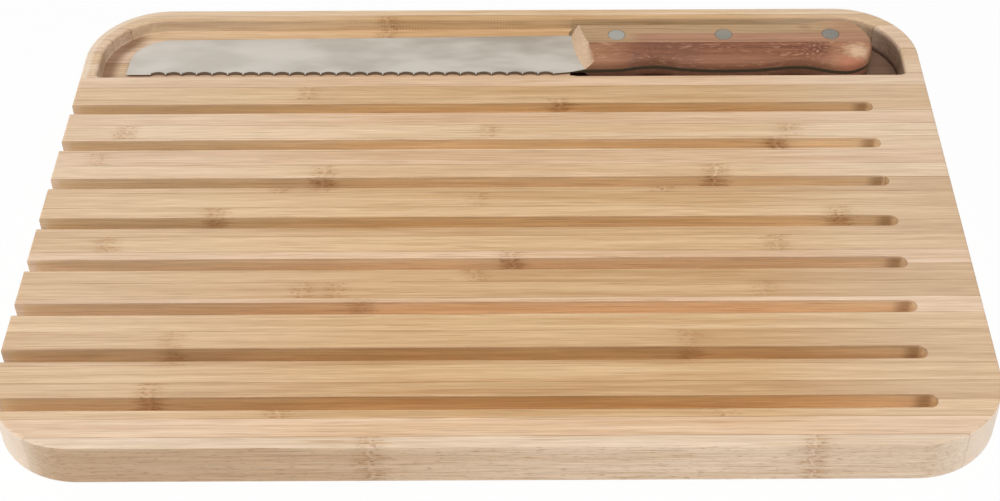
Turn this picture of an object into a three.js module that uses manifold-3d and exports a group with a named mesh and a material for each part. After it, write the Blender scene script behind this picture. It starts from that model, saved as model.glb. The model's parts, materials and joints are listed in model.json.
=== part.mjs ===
// Bread board of glued bamboo battens, with eight crumb grooves and a routed pocket
// that holds a serrated bread knife. The knife lies loose in the pocket and lifts out.
// Millimetres, +Z up. The origin is the centre of the board's underside, +X points to
// the closed ends of the grooves and +Y to the pocket.
import * as THREE from 'three';
import { mergeVertices } from 'three/addons/utils/BufferGeometryUtils.js';
import Module from 'manifold-3d';

// Board, as long as its pocket and the rims at the pocket's ends
const boardWidth = 268;
const boardThickness = 20;
const boardCornerRadius = 35;
const boardTopRound = 2;
const boardBottomRound = 1;
const battenWidth = 8.9;
const backBattenWidth = 4.95;
const leastFrontBatten = 2;
const leastFloorStep = 2.3;
const greatestLineShift = 1;

// Crumb grooves, open at the left edge and round at the right
const groovePitch = 24.75;
const grooveWidth = 6.1;
const grooveDepth = 10;
const grooveEdgeRound = 0.8;
const grooveTipInset = 26.7;
const backRibWidth = 20.55;
const leastFrontRib = 12;

// Knife pocket: a shallow shelf under the blade and a deep bay under the handle. It follows
// the knife, with a gap on every side.
const tipRim = 7;
const buttRim = 7.6;
const pocketBackRim = 7.5;
const tipGap = 11.8;
const buttGap = 12.6;
const spineGap = 6.7;
const edgeGap = 8.2;
const handleFrontGap = 1.2;
const pocketFrontRadius = 3;
const pocketEdgeRound = 1.5;
const shelfDepth = 6.9;
const bayDepth = 14.3;
const bayAllowance = 0.4;

// Knife, measured from the front end of its handle
const bladeLength = 203.4;
const bladeThickness = 2;
const heelDrop = 1.85;
const edgeTaper = 0.2;
const spineTaper = 2.5;
const tipStraight = 3.3;
const scallopPitch = 7.07;
const scallopDepth = 2.6;
const scallopLand = 0.5;
const firstScallopInset = 10.8;
const plainHeelLength = 8.5;
const grindWidth = 4;

// Handle: two scales riveted through a full tang
const handleLength = 137.6;
const handleWidth = 25.65;
const scaleClearance = 0.2;
const flatWidth = 15.2;
const scaleEdgeInset = 1.2;
const frontSweep = 5.7;
const frontBevelRun = 4.8;
const frontBevelReach = 30;

// Rivets with a head in each scale and a shank through the tang
const rivetCount = 3;
const frontRivetInset = 20.4;
const buttRivetInset = 18.7;
const rivetDepth = 9.4;
const rivetHeadRadius = 3.9;
const rivetHeadLength = 3;
const rivetShankRadius = 2.5;
const rivetClearance = 0.25;

// How finely the curves are cut
const overrun = 5;
const cornerSteps = 12;
const smallCornerSteps = 5;
const grooveEndSteps = 16;
const roundSteps = 3;
const scallopSteps = 6;
const tipSteps = 10;
const bellySteps = 60;
const frontSteps = 6;
const rivetSteps = 24;
const bellyRoundPower = 4;
const scaleLevelShares = [0, 0.4, 0.6, 0.75, 0.86, 0.94, 1];

// Side of the handle from the front corner of the belly, round the butt and back along
// the spine. Each pair is a share of the handle's length and of its width below the spine.
const handleSideShares = [
  [0.041, 0.962], [0.1, 0.988], [0.16, 0.99], [0.21, 0.938], [0.26, 0.908], [0.31, 0.915],
  [0.37, 0.963], [0.465, 1.02], [0.54, 1.042], [0.615, 1.03], [0.67, 0.977], [0.735, 0.9],
  [0.775, 0.931], [0.82, 1.04], [0.865, 1.115], [0.92, 1.104], [0.96, 1.008], [0.986, 0.838],
  [1, 0.57], [0.995, 0.36], [0.983, 0.19], [0.955, 0], [0.912, -0.13], [0.858, -0.11],
  [0.8, -0.035], [0.74, 0],
];

// Shares of a batten's tone, so that neighbours differ a little
const toneShares = [0.35, 0.8, 0.1, 0.6, 0.95, 0.25, 0.5];
const lightBamboo = new THREE.Color(0xe0c19a);
const darkBamboo = new THREE.Color(0xcda67c);

const bladeHeelWidth = handleWidth + heelDrop;
const tipRadius = bladeHeelWidth - edgeTaper - spineTaper - grindWidth - tipStraight;
const pocketLength = tipGap + bladeLength + handleLength + buttGap;
const boardLength = tipRim + pocketLength + buttRim;
const boardLeft = -boardLength / 2;
const boardRight = boardLength / 2;
const boardFront = -boardWidth / 2;
const boardBack = boardWidth / 2;
const pocketLeft = boardLeft + tipRim;
const pocketBack = boardBack - pocketBackRim;
const spineAtHandle = pocketBack - spineGap;
const pocketFront = spineAtHandle - bladeHeelWidth - edgeGap;
const pocketBackRadius = Math.max(boardCornerRadius - pocketBackRim, pocketFrontRadius);
const bayRight = boardRight - buttRim;
const handleFront = bayRight - buttGap - handleLength;
const bayLeft = handleFront - handleFrontGap;
const shelfHeight = boardThickness - shelfDepth;
const bayFloor = boardThickness - bayDepth;
const scaleThickness = shelfHeight - bayFloor - scaleClearance;
const rivetPitch = (handleLength - frontRivetInset - buttRivetInset) / (rivetCount - 1);

const wasm = await Module();
wasm.setup();

// A closed solid through a stack of outlines. Each ring is { z, points }, anticlockwise
// seen from above, and all rings have the same number of points.
function stackedSolid(rings) {
  const count = rings[0].points.length;
  const positions = [];
  const faces = [];
  for (const ring of rings) {
    for (const point of ring.points) positions.push(point.x, point.y, ring.z);
  }
  for (let level = 0; level + 1 < rings.length; level += 1) {
    const low = level * count;
    const high = low + count;
    for (let i = 0; i < count; i += 1) {
      const next = (i + 1) % count;
      faces.push(low + i, low + next, high + next);
      faces.push(low + i, high + next, high + i);
    }
  }
  const top = (rings.length - 1) * count;
  for (const [a, b, c] of THREE.ShapeUtils.triangulateShape(rings[0].points, [])) {
    faces.push(c, b, a);
  }
  for (const [a, b, c] of THREE.ShapeUtils.triangulateShape(rings[rings.length - 1].points, [])) {
    faces.push(top + a, top + b, top + c);
  }
  return new wasm.Manifold(new wasm.Mesh({
    numProp: 3,
    vertProperties: new Float32Array(positions),
    triVerts: new Uint32Array(faces),
  }));
}

// A solid turned about Z from a profile of radius and height that starts and ends on the axis.
function turnedSolid(profile, steps) {
  const points = profile.map(([radius, height]) => new THREE.Vector2(radius, height));
  const lathe = new THREE.LatheGeometry(points, steps);
  lathe.rotateX(Math.PI / 2);
  lathe.deleteAttribute('normal');
  lathe.deleteAttribute('uv');
  const merged = mergeVertices(lathe);
  const kept = [];
  const index = merged.index.array;
  for (let i = 0; i < index.length; i += 3) {
    const [a, b, c] = [index[i], index[i + 1], index[i + 2]];
    if (a !== b && b !== c && c !== a) kept.push(a, b, c);
  }
  return new wasm.Manifold(new wasm.Mesh({
    numProp: 3,
    vertProperties: new Float32Array(merged.attributes.position.array),
    triVerts: new Uint32Array(kept),
  }));
}

function geometryOf(solid) {
  const mesh = solid.getMesh();
  const geometry = new THREE.BufferGeometry();
  geometry.setAttribute('position', new THREE.BufferAttribute(mesh.vertProperties, 3));
  geometry.setIndex(new THREE.BufferAttribute(mesh.triVerts, 1));
  geometry.computeVertexNormals();
  return geometry;
}

function namedMesh(name, solid, material) {
  const mesh = new THREE.Mesh(geometryOf(solid), material);
  mesh.name = name;
  return mesh;
}

function arc(centreX, centreY, radius, startAngle, endAngle, steps) {
  const points = [];
  for (let i = 0; i <= steps; i += 1) {
    const angle = startAngle + (endAngle - startAngle) * i / steps;
    const x = centreX + radius * Math.cos(angle);
    points.push(new THREE.Vector2(x, centreY + radius * Math.sin(angle)));
  }
  return points;
}

// A rectangle with its own radius and steps at each corner, anticlockwise from the front right.
function roundedRectangle(left, right, front, back, frontCorner, backCorner) {
  const quarter = Math.PI / 2;
  const { radius: near, steps: nearSteps } = frontCorner;
  const { radius: far, steps: farSteps } = backCorner;
  return [
    ...arc(right - near, front + near, near, -quarter, 0, nearSteps),
    ...arc(right - far, back - far, far, 0, quarter, farSteps),
    ...arc(left + far, back - far, far, quarter, 2 * quarter, farSteps),
    ...arc(left + near, front + near, near, 2 * quarter, 3 * quarter, nearSteps),
  ];
}

// Steps of a quarter round from its wall to its face, as shares of the radius.
function quarterRound() {
  const steps = [];
  for (let i = 0; i <= roundSteps; i += 1) {
    const angle = (Math.PI / 2) * i / roundSteps;
    steps.push({ across: 1 - Math.cos(angle), below: 1 - Math.sin(angle) });
  }
  return steps;
}

// The board before it is routed: all its outer edges rounded.
function boardBlank() {
  const outline = (inset) => roundedRectangle(
    boardLeft + inset, boardRight - inset, boardFront + inset, boardBack - inset,
    { radius: boardCornerRadius - inset, steps: cornerSteps },
    { radius: boardCornerRadius - inset, steps: cornerSteps },
  );
  const bottom = quarterRound().reverse().map(({ across, below }) => (
    { z: boardBottomRound * below, points: outline(boardBottomRound * across) }
  ));
  const top = quarterRound().map(({ across, below }) => (
    { z: boardThickness - boardTopRound * below, points: outline(boardTopRound * across) }
  ));
  return stackedSolid([...bottom, ...top]);
}

// A cutter with straight walls and a flare that leaves a rounded edge on the board's top.
function flaredCutter(outlineAt, floor, edgeRound) {
  const rings = [{ z: floor, points: outlineAt(0) }];
  for (const { across, below } of quarterRound()) {
    const z = boardThickness - edgeRound * below;
    rings.push({ z, points: outlineAt(edgeRound * across) });
  }
  rings.push({ z: boardThickness + overrun, points: outlineAt(edgeRound) });
  return stackedSolid(rings);
}

function grooveCutter(centreY) {
  const endX = boardRight - grooveTipInset - grooveWidth / 2;
  const outlineAt = (outset) => {
    const halfWidth = grooveWidth / 2 + outset;
    return [
      ...arc(endX, centreY, halfWidth, -Math.PI / 2, Math.PI / 2, grooveEndSteps),
      new THREE.Vector2(boardLeft - overrun, centreY + halfWidth),
      new THREE.Vector2(boardLeft - overrun, centreY - halfWidth),
    ];
  };
  return flaredCutter(outlineAt, boardThickness - grooveDepth, grooveEdgeRound);
}

function shelfCutter() {
  const outlineAt = (outset) => {
    const near = pocketFrontRadius + outset;
    const far = pocketBackRadius + outset;
    const left = pocketLeft - outset;
    const right = (bayLeft + bayRight) / 2;
    const front = pocketFront - outset;
    const back = pocketBack + outset;
    return [
      new THREE.Vector2(right, front),
      new THREE.Vector2(right, back),
      ...arc(left + far, back - far, far, Math.PI / 2, Math.PI, cornerSteps),
      ...arc(left + near, front + near, near, Math.PI, 1.5 * Math.PI, smallCornerSteps),
    ];
  };
  return flaredCutter(outlineAt, shelfHeight, pocketEdgeRound);
}

function bayCutter() {
  const outlineAt = (outset) => {
    const near = pocketFrontRadius + outset;
    const far = pocketBackRadius + bayAllowance + outset;
    const right = bayRight + outset;
    const left = bayLeft - outset;
    const front = pocketFront - bayAllowance - outset;
    const back = pocketBack + bayAllowance + outset;
    const quarter = Math.PI / 2;
    return [
      ...arc(right - near, front + near, near, -quarter, 0, smallCornerSteps),
      ...arc(right - far, back - far, far, 0, quarter, cornerSteps),
      ...arc(left + near, back - near, near, quarter, 2 * quarter, smallCornerSteps),
      ...arc(left + near, front + near, near, 2 * quarter, 3 * quarter, smallCornerSteps),
    ];
  };
  return flaredCutter(outlineAt, bayFloor, pocketEdgeRound);
}

// Grooves from the pocket towards the front edge, as many as leave a sound rib there.
function grooveCentres() {
  const foremost = boardFront + leastFrontRib + grooveWidth / 2;
  const centres = [];
  let centreY = pocketFront - backRibWidth - grooveWidth / 2;
  while (centreY >= foremost) {
    centres.push(centreY);
    centreY -= groovePitch;
  }
  return centres;
}

function routedBoard() {
  let board = boardBlank().subtract(shelfCutter()).subtract(bayCutter());
  for (const centreY of grooveCentres()) {
    board = board.subtract(grooveCutter(centreY));
  }
  return board;
}

// A glue line in a groove's floor keeps off the groove's walls where a small shift is enough,
// so that no batten ends in a narrow step there.
function clearOfWalls(line) {
  const centreY = grooveCentres().find((centre) => Math.abs(line - centre) < grooveWidth / 2);
  if (centreY === undefined) return line;
  const reach = grooveWidth / 2 - leastFloorStep;
  const shifted = Math.min(Math.max(line, centreY - reach), centreY + reach);
  return Math.abs(shifted - line) <= greatestLineShift ? shifted : line;
}

// Glue lines from the back edge at the pocket forward: a trimmed batten, whole ones, and
// what is left at the front edge.
function glueLines() {
  const lines = [boardBack + overrun];
  let line = boardBack - backBattenWidth;
  while (line >= boardFront + leastFrontBatten) {
    lines.push(clearOfWalls(line));
    line -= battenWidth;
  }
  lines.push(boardFront - overrun);
  return lines;
}

function slab(front, back) {
  const points = [
    new THREE.Vector2(boardLeft - overrun, front),
    new THREE.Vector2(boardRight + overrun, front),
    new THREE.Vector2(boardRight + overrun, back),
    new THREE.Vector2(boardLeft - overrun, back),
  ];
  return stackedSolid([{ z: -overrun, points }, { z: boardThickness + overrun, points }]);
}

function makeBattens() {
  const board = routedBoard();
  const lines = glueLines();
  const group = new THREE.Group();
  for (let i = 0; i + 1 < lines.length; i += 1) {
    const tone = toneShares[i % toneShares.length];
    const material = new THREE.MeshStandardMaterial({
      color: darkBamboo.clone().lerp(lightBamboo, tone), roughness: 0.6, metalness: 0,
    });
    const name = `board_batten_${String(i + 1).padStart(2, '0')}`;
    group.add(namedMesh(name, board.intersect(slab(lines[i + 1], lines[i])), material));
  }
  return group;
}

// The knife's pieces share one frame: X from the handle's front end towards the butt,
// Y from the spine (zero) down to the edge (negative), Z from the blade's lower face.

function handleSide() {
  const points = handleSideShares.map(([along, down]) => (
    new THREE.Vector2(along * handleLength, -down * handleWidth)
  ));
  return new THREE.SplineCurve(points).getPoints(bellySteps);
}

// The front end of the handle sweeps back towards the belly.
function frontSweepAt(y) {
  const share = y / -handleWidth;
  return frontSweep * share * share;
}

function handleFrontEnd() {
  const lowest = handleSideShares[0][1] * -handleWidth;
  const points = [];
  for (let i = 0; i < frontSteps; i += 1) {
    const y = lowest * i / frontSteps;
    points.push(new THREE.Vector2(frontSweepAt(y), y));
  }
  return points;
}

// Outline of the handle at the tang, anticlockwise from the spine at the front end.
function handleOutline() {
  return [...handleFrontEnd(), ...handleSide()];
}

// The same outline moved in by a distance, square to its sides.
function movedIn(outline, distance) {
  return outline.map((point, i) => {
    const before = outline[(i + outline.length - 1) % outline.length];
    const after = outline[(i + 1) % outline.length];
    const along = after.clone().sub(before).normalize();
    return new THREE.Vector2(point.x - along.y * distance, point.y + along.x * distance);
  });
}

// Outline of the flat on top of a scale, before its front end is set back: drawn in all
// round and cut straight on the belly side.
function flatOutline(outline) {
  const inner = movedIn(outline, scaleEdgeInset);
  return inner.map((point, i) => {
    const x = i <= frontSteps ? outline[i].x : point.x;
    return new THREE.Vector2(x, Math.max(point.y, -flatWidth));
  });
}

// How far the bevel sets the flat's front end back. It fades out along the handle.
function frontBevelAt(x) {
  const near = Math.max(0, 1 - x / frontBevelReach);
  return frontBevelRun * near * near;
}

// From the tang up, the sides round over late and the front end slopes evenly.
function scaleRings() {
  const outline = handleOutline();
  const flat = flatOutline(outline);
  return scaleLevelShares.map((share) => {
    const points = outline.map((point, i) => {
      const rounded = point.clone().lerp(flat[i], share ** bellyRoundPower);
      rounded.x += frontBevelAt(rounded.x) * share;
      return rounded;
    });
    return { z: share * scaleThickness, points };
  });
}

function mirroredDown(rings) {
  return [...rings].reverse().map(({ z, points }) => ({ z: -z, points }));
}

function rivetCentres() {
  const centres = [];
  for (let i = 0; i < rivetCount; i += 1) {
    centres.push(new THREE.Vector2(frontRivetInset + i * rivetPitch, -rivetDepth));
  }
  return centres;
}

// A rivet, or with a clearance the stepped hole that it fills. Its length follows the handle.
function rivetBody(clearance) {
  const low = -scaleThickness;
  const high = bladeThickness + scaleThickness;
  const head = rivetHeadRadius + clearance;
  const shank = rivetShankRadius + clearance;
  const past = clearance > 0 ? overrun : 0;
  return turnedSolid([
    [0, low - past], [head, low - past], [head, low + rivetHeadLength],
    [shank, low + rivetHeadLength], [shank, high - rivetHeadLength],
    [head, high - rivetHeadLength], [head, high + past], [0, high + past],
  ], rivetSteps);
}

function withRivetHoles(solid) {
  let drilled = solid;
  for (const { x, y } of rivetCentres()) {
    drilled = drilled.subtract(rivetBody(rivetClearance).translate([x, y, 0]));
  }
  return drilled;
}

function edgeLineAt(x) {
  return -bladeHeelWidth - edgeTaper * x / bladeLength;
}

// The cutting edge from the tip to the heel: a plain stretch, the scallops, a plain heel.
function cuttingEdge() {
  const halfSpan = (scallopPitch - scallopLand) / 2;
  const serrated = bladeLength - firstScallopInset - plainHeelLength;
  const scallopCount = Math.floor(serrated / scallopPitch);
  const points = [new THREE.Vector2(-bladeLength, edgeLineAt(-bladeLength))];
  for (let i = 0; i < scallopCount; i += 1) {
    const centre = -bladeLength + firstScallopInset + scallopPitch / 2 + i * scallopPitch;
    for (let k = 0; k <= scallopSteps; k += 1) {
      const across = Math.cos(Math.PI * (1 - k / scallopSteps));
      const x = centre + halfSpan * across;
      const rise = scallopDepth * Math.sqrt(Math.max(0, 1 - across * across));
      points.push(new THREE.Vector2(x, edgeLineAt(x) + rise));
    }
  }
  return points;
}

function bladeOutline() {
  const edge = cuttingEdge();
  const side = handleSide();
  const tipCentreY = -spineTaper - tipRadius;
  const tip = arc(-bladeLength + tipRadius, tipCentreY, tipRadius, Math.PI / 2, Math.PI, tipSteps);
  const outline = [...edge, ...side, new THREE.Vector2(0, 0), ...tip];
  const ground = outline.map((point, i) => (
    i < edge.length ? new THREE.Vector2(point.x, edgeLineAt(point.x) + grindWidth) : point
  ));
  return { outline, ground };
}

function makeBlade() {
  const { outline, ground } = bladeOutline();
  const steel = stackedSolid([{ z: 0, points: outline }, { z: bladeThickness, points: ground }]);
  return withRivetHoles(steel);
}

function makeKnife() {
  const steel = { color: 0xc9c1b6, roughness: 0.35, metalness: 0.9 };
  const wood = { color: 0xb98c68, roughness: 0.6, metalness: 0 };
  const rivetSteel = { color: 0x9b948c, roughness: 0.4, metalness: 0.9 };
  const upper = stackedSolid(scaleRings()).translate([0, 0, bladeThickness]);
  const lower = stackedSolid(mirroredDown(scaleRings()));
  const knife = new THREE.Group();
  knife.add(
    namedMesh('blade', makeBlade(), new THREE.MeshStandardMaterial(steel)),
    namedMesh('scale_upper', withRivetHoles(upper), new THREE.MeshStandardMaterial(wood)),
    namedMesh('scale_lower', withRivetHoles(lower), new THREE.MeshStandardMaterial(wood)),
  );
  rivetCentres().forEach(({ x, y }, i) => {
    const material = new THREE.MeshStandardMaterial(rivetSteel);
    const rivet = namedMesh(`rivet_${i + 1}`, rivetBody(0), material);
    rivet.position.set(x, y, 0);
    knife.add(rivet);
  });
  knife.position.set(handleFront, spineAtHandle, shelfHeight);
  return knife;
}

const breadBoard = new THREE.Group();
breadBoard.add(makeBattens(), makeKnife());

export default breadBoard;
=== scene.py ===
"""Bread board of glued bamboo battens, with crumb grooves and a knife in a routed pocket.

Shapes are built in millimetres and turned into metres when they become objects. Every
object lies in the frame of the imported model: X along the grooves, Y from the front edge
to the pocket, Z up from the surface that the board lies on.
"""

import json
import logging
import math
from dataclasses import dataclass, field
from enum import Enum
from functools import reduce
from typing import Callable, Iterable, Sequence

import bmesh
import bpy
from mathutils import Matrix, Vector


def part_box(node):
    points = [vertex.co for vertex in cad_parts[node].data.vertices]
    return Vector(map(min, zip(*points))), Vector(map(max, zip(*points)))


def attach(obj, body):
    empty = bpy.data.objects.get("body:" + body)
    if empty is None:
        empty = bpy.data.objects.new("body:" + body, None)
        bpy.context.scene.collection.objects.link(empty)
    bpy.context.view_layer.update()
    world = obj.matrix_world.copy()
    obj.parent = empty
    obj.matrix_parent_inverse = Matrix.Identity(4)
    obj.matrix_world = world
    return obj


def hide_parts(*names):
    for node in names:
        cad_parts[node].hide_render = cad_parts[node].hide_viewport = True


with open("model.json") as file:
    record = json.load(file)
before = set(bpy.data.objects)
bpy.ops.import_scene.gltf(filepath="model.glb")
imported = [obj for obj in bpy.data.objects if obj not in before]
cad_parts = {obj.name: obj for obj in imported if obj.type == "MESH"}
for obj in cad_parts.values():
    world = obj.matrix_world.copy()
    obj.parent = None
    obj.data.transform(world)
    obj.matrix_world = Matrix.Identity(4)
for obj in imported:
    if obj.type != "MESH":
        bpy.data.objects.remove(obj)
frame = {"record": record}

log = logging.getLogger("bread_board")

MM = 0.001
TO_MM = (1000, 1000, 1000)
QUARTER = math.pi / 2
SAME_POINT = 1e-4
ON_PLANE = 1e-5
BEYOND = 5.0  # how far a cutter stands out of what it cuts
OUTSIDE = 1.0  # how far an outermost slice reaches past the blank

Point = tuple[float, float]
Colour = tuple[float, float, float, float]
Outline = list[Point]
Ring = list[Vector]
Socket = bpy.types.NodeSocket
Value = float | tuple[float, ...] | Socket

WHITE: Colour = (1.0, 1.0, 1.0, 1.0)


def arc(centre: Point, radius: float, start: float, end: float, steps: int) -> Outline:
    """Points along an arc.

    Args:
        centre: Centre of the arc.
        radius: Its radius.
        start: First angle in radians.
        end: Last angle in radians.
        steps: Number of straight pieces.

    Returns:
        The points, one more than the steps.
    """
    points = []
    for i in range(steps + 1):
        angle = start + (end - start) * i / steps
        points.append((centre[0] + radius * math.cos(angle), centre[1] + radius * math.sin(angle)))
    return points


def rounded_rectangle(left: float, right: float, front: float, back: float,
                      radius: float, steps: int) -> Outline:
    """A rectangle with round corners, anticlockwise from the front right.

    Args:
        left: Lowest X.
        right: Highest X.
        front: Lowest Y.
        back: Highest Y.
        radius: Radius of the corners.
        steps: Straight pieces in each corner.

    Returns:
        The outline.
    """
    return [
        *arc((right - radius, front + radius), radius, -QUARTER, 0, steps),
        *arc((right - radius, back - radius), radius, 0, QUARTER, steps),
        *arc((left + radius, back - radius), radius, QUARTER, 2 * QUARTER, steps),
        *arc((left + radius, front + radius), radius, 2 * QUARTER, 3 * QUARTER, steps),
    ]


def ring(points: Outline, height: float) -> Ring:
    """The outline at one height."""
    return [Vector((x, y, height)) for x, y in points]


def quarter_round(radius: float, steps: int) -> list[Point]:
    """Steps of a quarter round from its wall to its face.

    Args:
        radius: Its radius.
        steps: Number of straight pieces.

    Returns:
        How far each point lies across from the wall and below the face.
    """
    shares = [i / steps for i in range(steps + 1)]
    return [
        (radius * (1 - math.cos(QUARTER * share)), radius * (1 - math.sin(QUARTER * share)))
        for share in shares
    ]


def smooth_line(points: Sequence[Point], steps: int) -> Outline:
    """A smooth line through points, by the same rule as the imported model's handle.

    Args:
        points: The points that the line passes.
        steps: Number of straight pieces.

    Returns:
        The points of the line.
    """
    def between(before: float, low: float, high: float, after: float, t: float) -> float:
        """One coordinate at share t from low to high.

        Args:
            before: The point before low.
            low: The lower point.
            high: The higher point.
            after: The point after high.
            t: Share of the way from low to high.

        Returns:
            The coordinate.
        """
        rise, fall = (high - before) / 2, (after - low) / 2
        return (
            (2 * low - 2 * high + rise + fall) * t ** 3
            + (3 * high - 3 * low - 2 * rise - fall) * t ** 2
            + rise * t + low
        )

    last = len(points) - 1
    line = []
    for i in range(steps + 1):
        place = last * i / steps
        whole = min(int(place), last)
        near = [points[min(max(whole + step, 0), last)] for step in (-1, 0, 1, 2)]
        line.append(tuple(between(*[p[axis] for p in near], place - whole) for axis in (0, 1)))
    return line


def moved_in(outline: Outline, distance: float) -> Outline:
    """A closed outline moved in, square to its sides.

    Args:
        outline: The outline, anticlockwise.
        distance: How far it moves.

    Returns:
        The moved outline.
    """
    moved_points = []
    count = len(outline)
    for i, (x, y) in enumerate(outline):
        before, after = outline[i - 1], outline[(i + 1) % count]
        along = Vector((after[0] - before[0], after[1] - before[1])).normalized()
        moved_points.append((x - along.y * distance, y + along.x * distance))
    return moved_points


def loft(rings: Sequence[Ring]) -> bpy.types.Mesh:
    """A closed skin through rings of the same number of points, capped at both ends.

    Args:
        rings: The rings, from the lowest to the highest, each anticlockwise from above.

    Returns:
        The mesh, in millimetres.
    """
    shape = bmesh.new()
    rows = [[shape.verts.new(point) for point in points] for points in rings]
    count = len(rows[0])
    for low, high in zip(rows, rows[1:]):
        for i in range(count):
            j = (i + 1) % count
            shape.faces.new((low[i], low[j], high[j], high[i]))
    shape.faces.new(list(reversed(rows[0])))
    shape.faces.new(rows[-1])
    return cleaned_mesh(shape)


def mesh_from(shape: bmesh.types.BMesh) -> bpy.types.Mesh:
    """A mesh from a shape.

    Args:
        shape: The shape. It is freed.

    Returns:
        The mesh.
    """
    mesh = bpy.data.meshes.new("shape")
    shape.to_mesh(mesh)
    shape.free()
    return mesh


def cleaned_mesh(shape: bmesh.types.BMesh) -> bpy.types.Mesh:
    """A mesh without doubled points or slivers, all faces outwards.

    Args:
        shape: The shape. It is freed.

    Returns:
        The mesh.
    """
    bmesh.ops.remove_doubles(shape, verts=shape.verts[:], dist=SAME_POINT)
    bmesh.ops.dissolve_degenerate(shape, edges=shape.edges[:], dist=SAME_POINT)
    bmesh.ops.recalc_face_normals(shape, faces=shape.faces[:])
    return mesh_from(shape)


def joined(meshes: Iterable[bpy.types.Mesh]) -> bpy.types.Mesh:
    """Several closed meshes as one.

    Args:
        meshes: The closed meshes.

    Returns:
        The mesh.
    """
    shape = bmesh.new()
    for mesh in meshes:
        shape.from_mesh(mesh)
    return mesh_from(shape)


def moved(mesh: bpy.types.Mesh, x: float, y: float, z: float) -> bpy.types.Mesh:
    """The mesh after a move."""
    mesh.transform(Matrix.Translation((x, y, z)))
    return mesh


def placed(name: str, data: bpy.types.ID) -> bpy.types.Object:
    """A new object in the scene.

    Args:
        name: Name of the object.
        data: Its mesh, lamp or camera.

    Returns:
        The object.
    """
    thing = bpy.data.objects.new(name, data)
    bpy.context.scene.collection.objects.link(thing)
    return thing


def cut_away(mesh: bpy.types.Mesh, cutters: Sequence[bpy.types.Mesh]) -> bpy.types.Mesh:
    """The mesh without the room that the cutters take.

    Args:
        mesh: A closed mesh.
        cutters: Closed meshes, taken away one after the other.

    Returns:
        What is left.
    """
    holders = [placed("cutting", part) for part in (mesh, *cutters)]
    for cutter in holders[1:]:
        cut = holders[0].modifiers.new("cut", "BOOLEAN")
        cut.operation = "DIFFERENCE"
        cut.solver = "EXACT"
        cut.object = cutter
    shown = holders[0].evaluated_get(bpy.context.evaluated_depsgraph_get())
    result = bpy.data.meshes.new_from_object(shown)
    for holder in holders:
        bpy.data.objects.remove(holder)
    return result


def slice_between(mesh: bpy.types.Mesh, front: float, back: float) -> bpy.types.Mesh:
    """The part of a closed mesh between two planes square to Y, closed again.

    Args:
        mesh: The mesh to slice. It is left as it is.
        front: Y of the front plane.
        back: Y of the back plane.

    Returns:
        The slice.
    """
    shape = bmesh.new()
    shape.from_mesh(mesh)
    for place, outward in ((front, -1.0), (back, 1.0)):
        cut = bmesh.ops.bisect_plane(
            shape, geom=shape.verts[:] + shape.edges[:] + shape.faces[:], dist=ON_PLANE,
            plane_co=(0, place, 0), plane_no=(0, outward, 0), clear_outer=True,
        )
        edges = [part for part in cut["geom_cut"] if isinstance(part, bmesh.types.BMEdge)]
        if edges:
            bmesh.ops.holes_fill(shape, edges=edges, sides=0)
    return cleaned_mesh(shape)


def make_piece(name: str, mesh: bpy.types.Mesh, material: bpy.types.Material,
               crease: float = 30.0) -> bpy.types.Object:
    """An object in metres from a mesh in millimetres, with soft and sharp edges told apart.

    Args:
        name: Name of the piece.
        mesh: Its mesh, in millimetres.
        material: Its finish.
        crease: Angle in degrees from which an edge is sharp.

    Returns:
        The new object, in the scene.
    """
    mesh.transform(Matrix.Scale(MM, 4))
    mesh.shade_smooth()
    mesh.set_sharp_from_angle(angle=math.radians(crease))
    piece = placed(name, mesh)
    evening = piece.modifiers.new("even faces", "WEIGHTED_NORMAL")
    evening.keep_sharp = True
    mesh.materials.clear()
    mesh.materials.append(material)
    return piece


def node_box(node: str) -> tuple[Vector, Vector]:
    """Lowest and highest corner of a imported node, in millimetres."""
    low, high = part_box(node)
    return low / MM, high / MM


def srgb(red: int, green: int, blue: int) -> Colour:
    """A colour as a shader takes it, from its values as seen on a screen.

    Args:
        red: Red, from 0 to 255.
        green: Green, from 0 to 255.
        blue: Blue, from 0 to 255.

    Returns:
        The colour in linear light.
    """
    def linear(value: int) -> float:
        """One channel in linear light."""
        share = value / 255
        return share / 12.92 if share <= 0.04045 else ((share + 0.055) / 1.055) ** 2.4

    return (linear(red), linear(green), linear(blue), 1.0)


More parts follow.
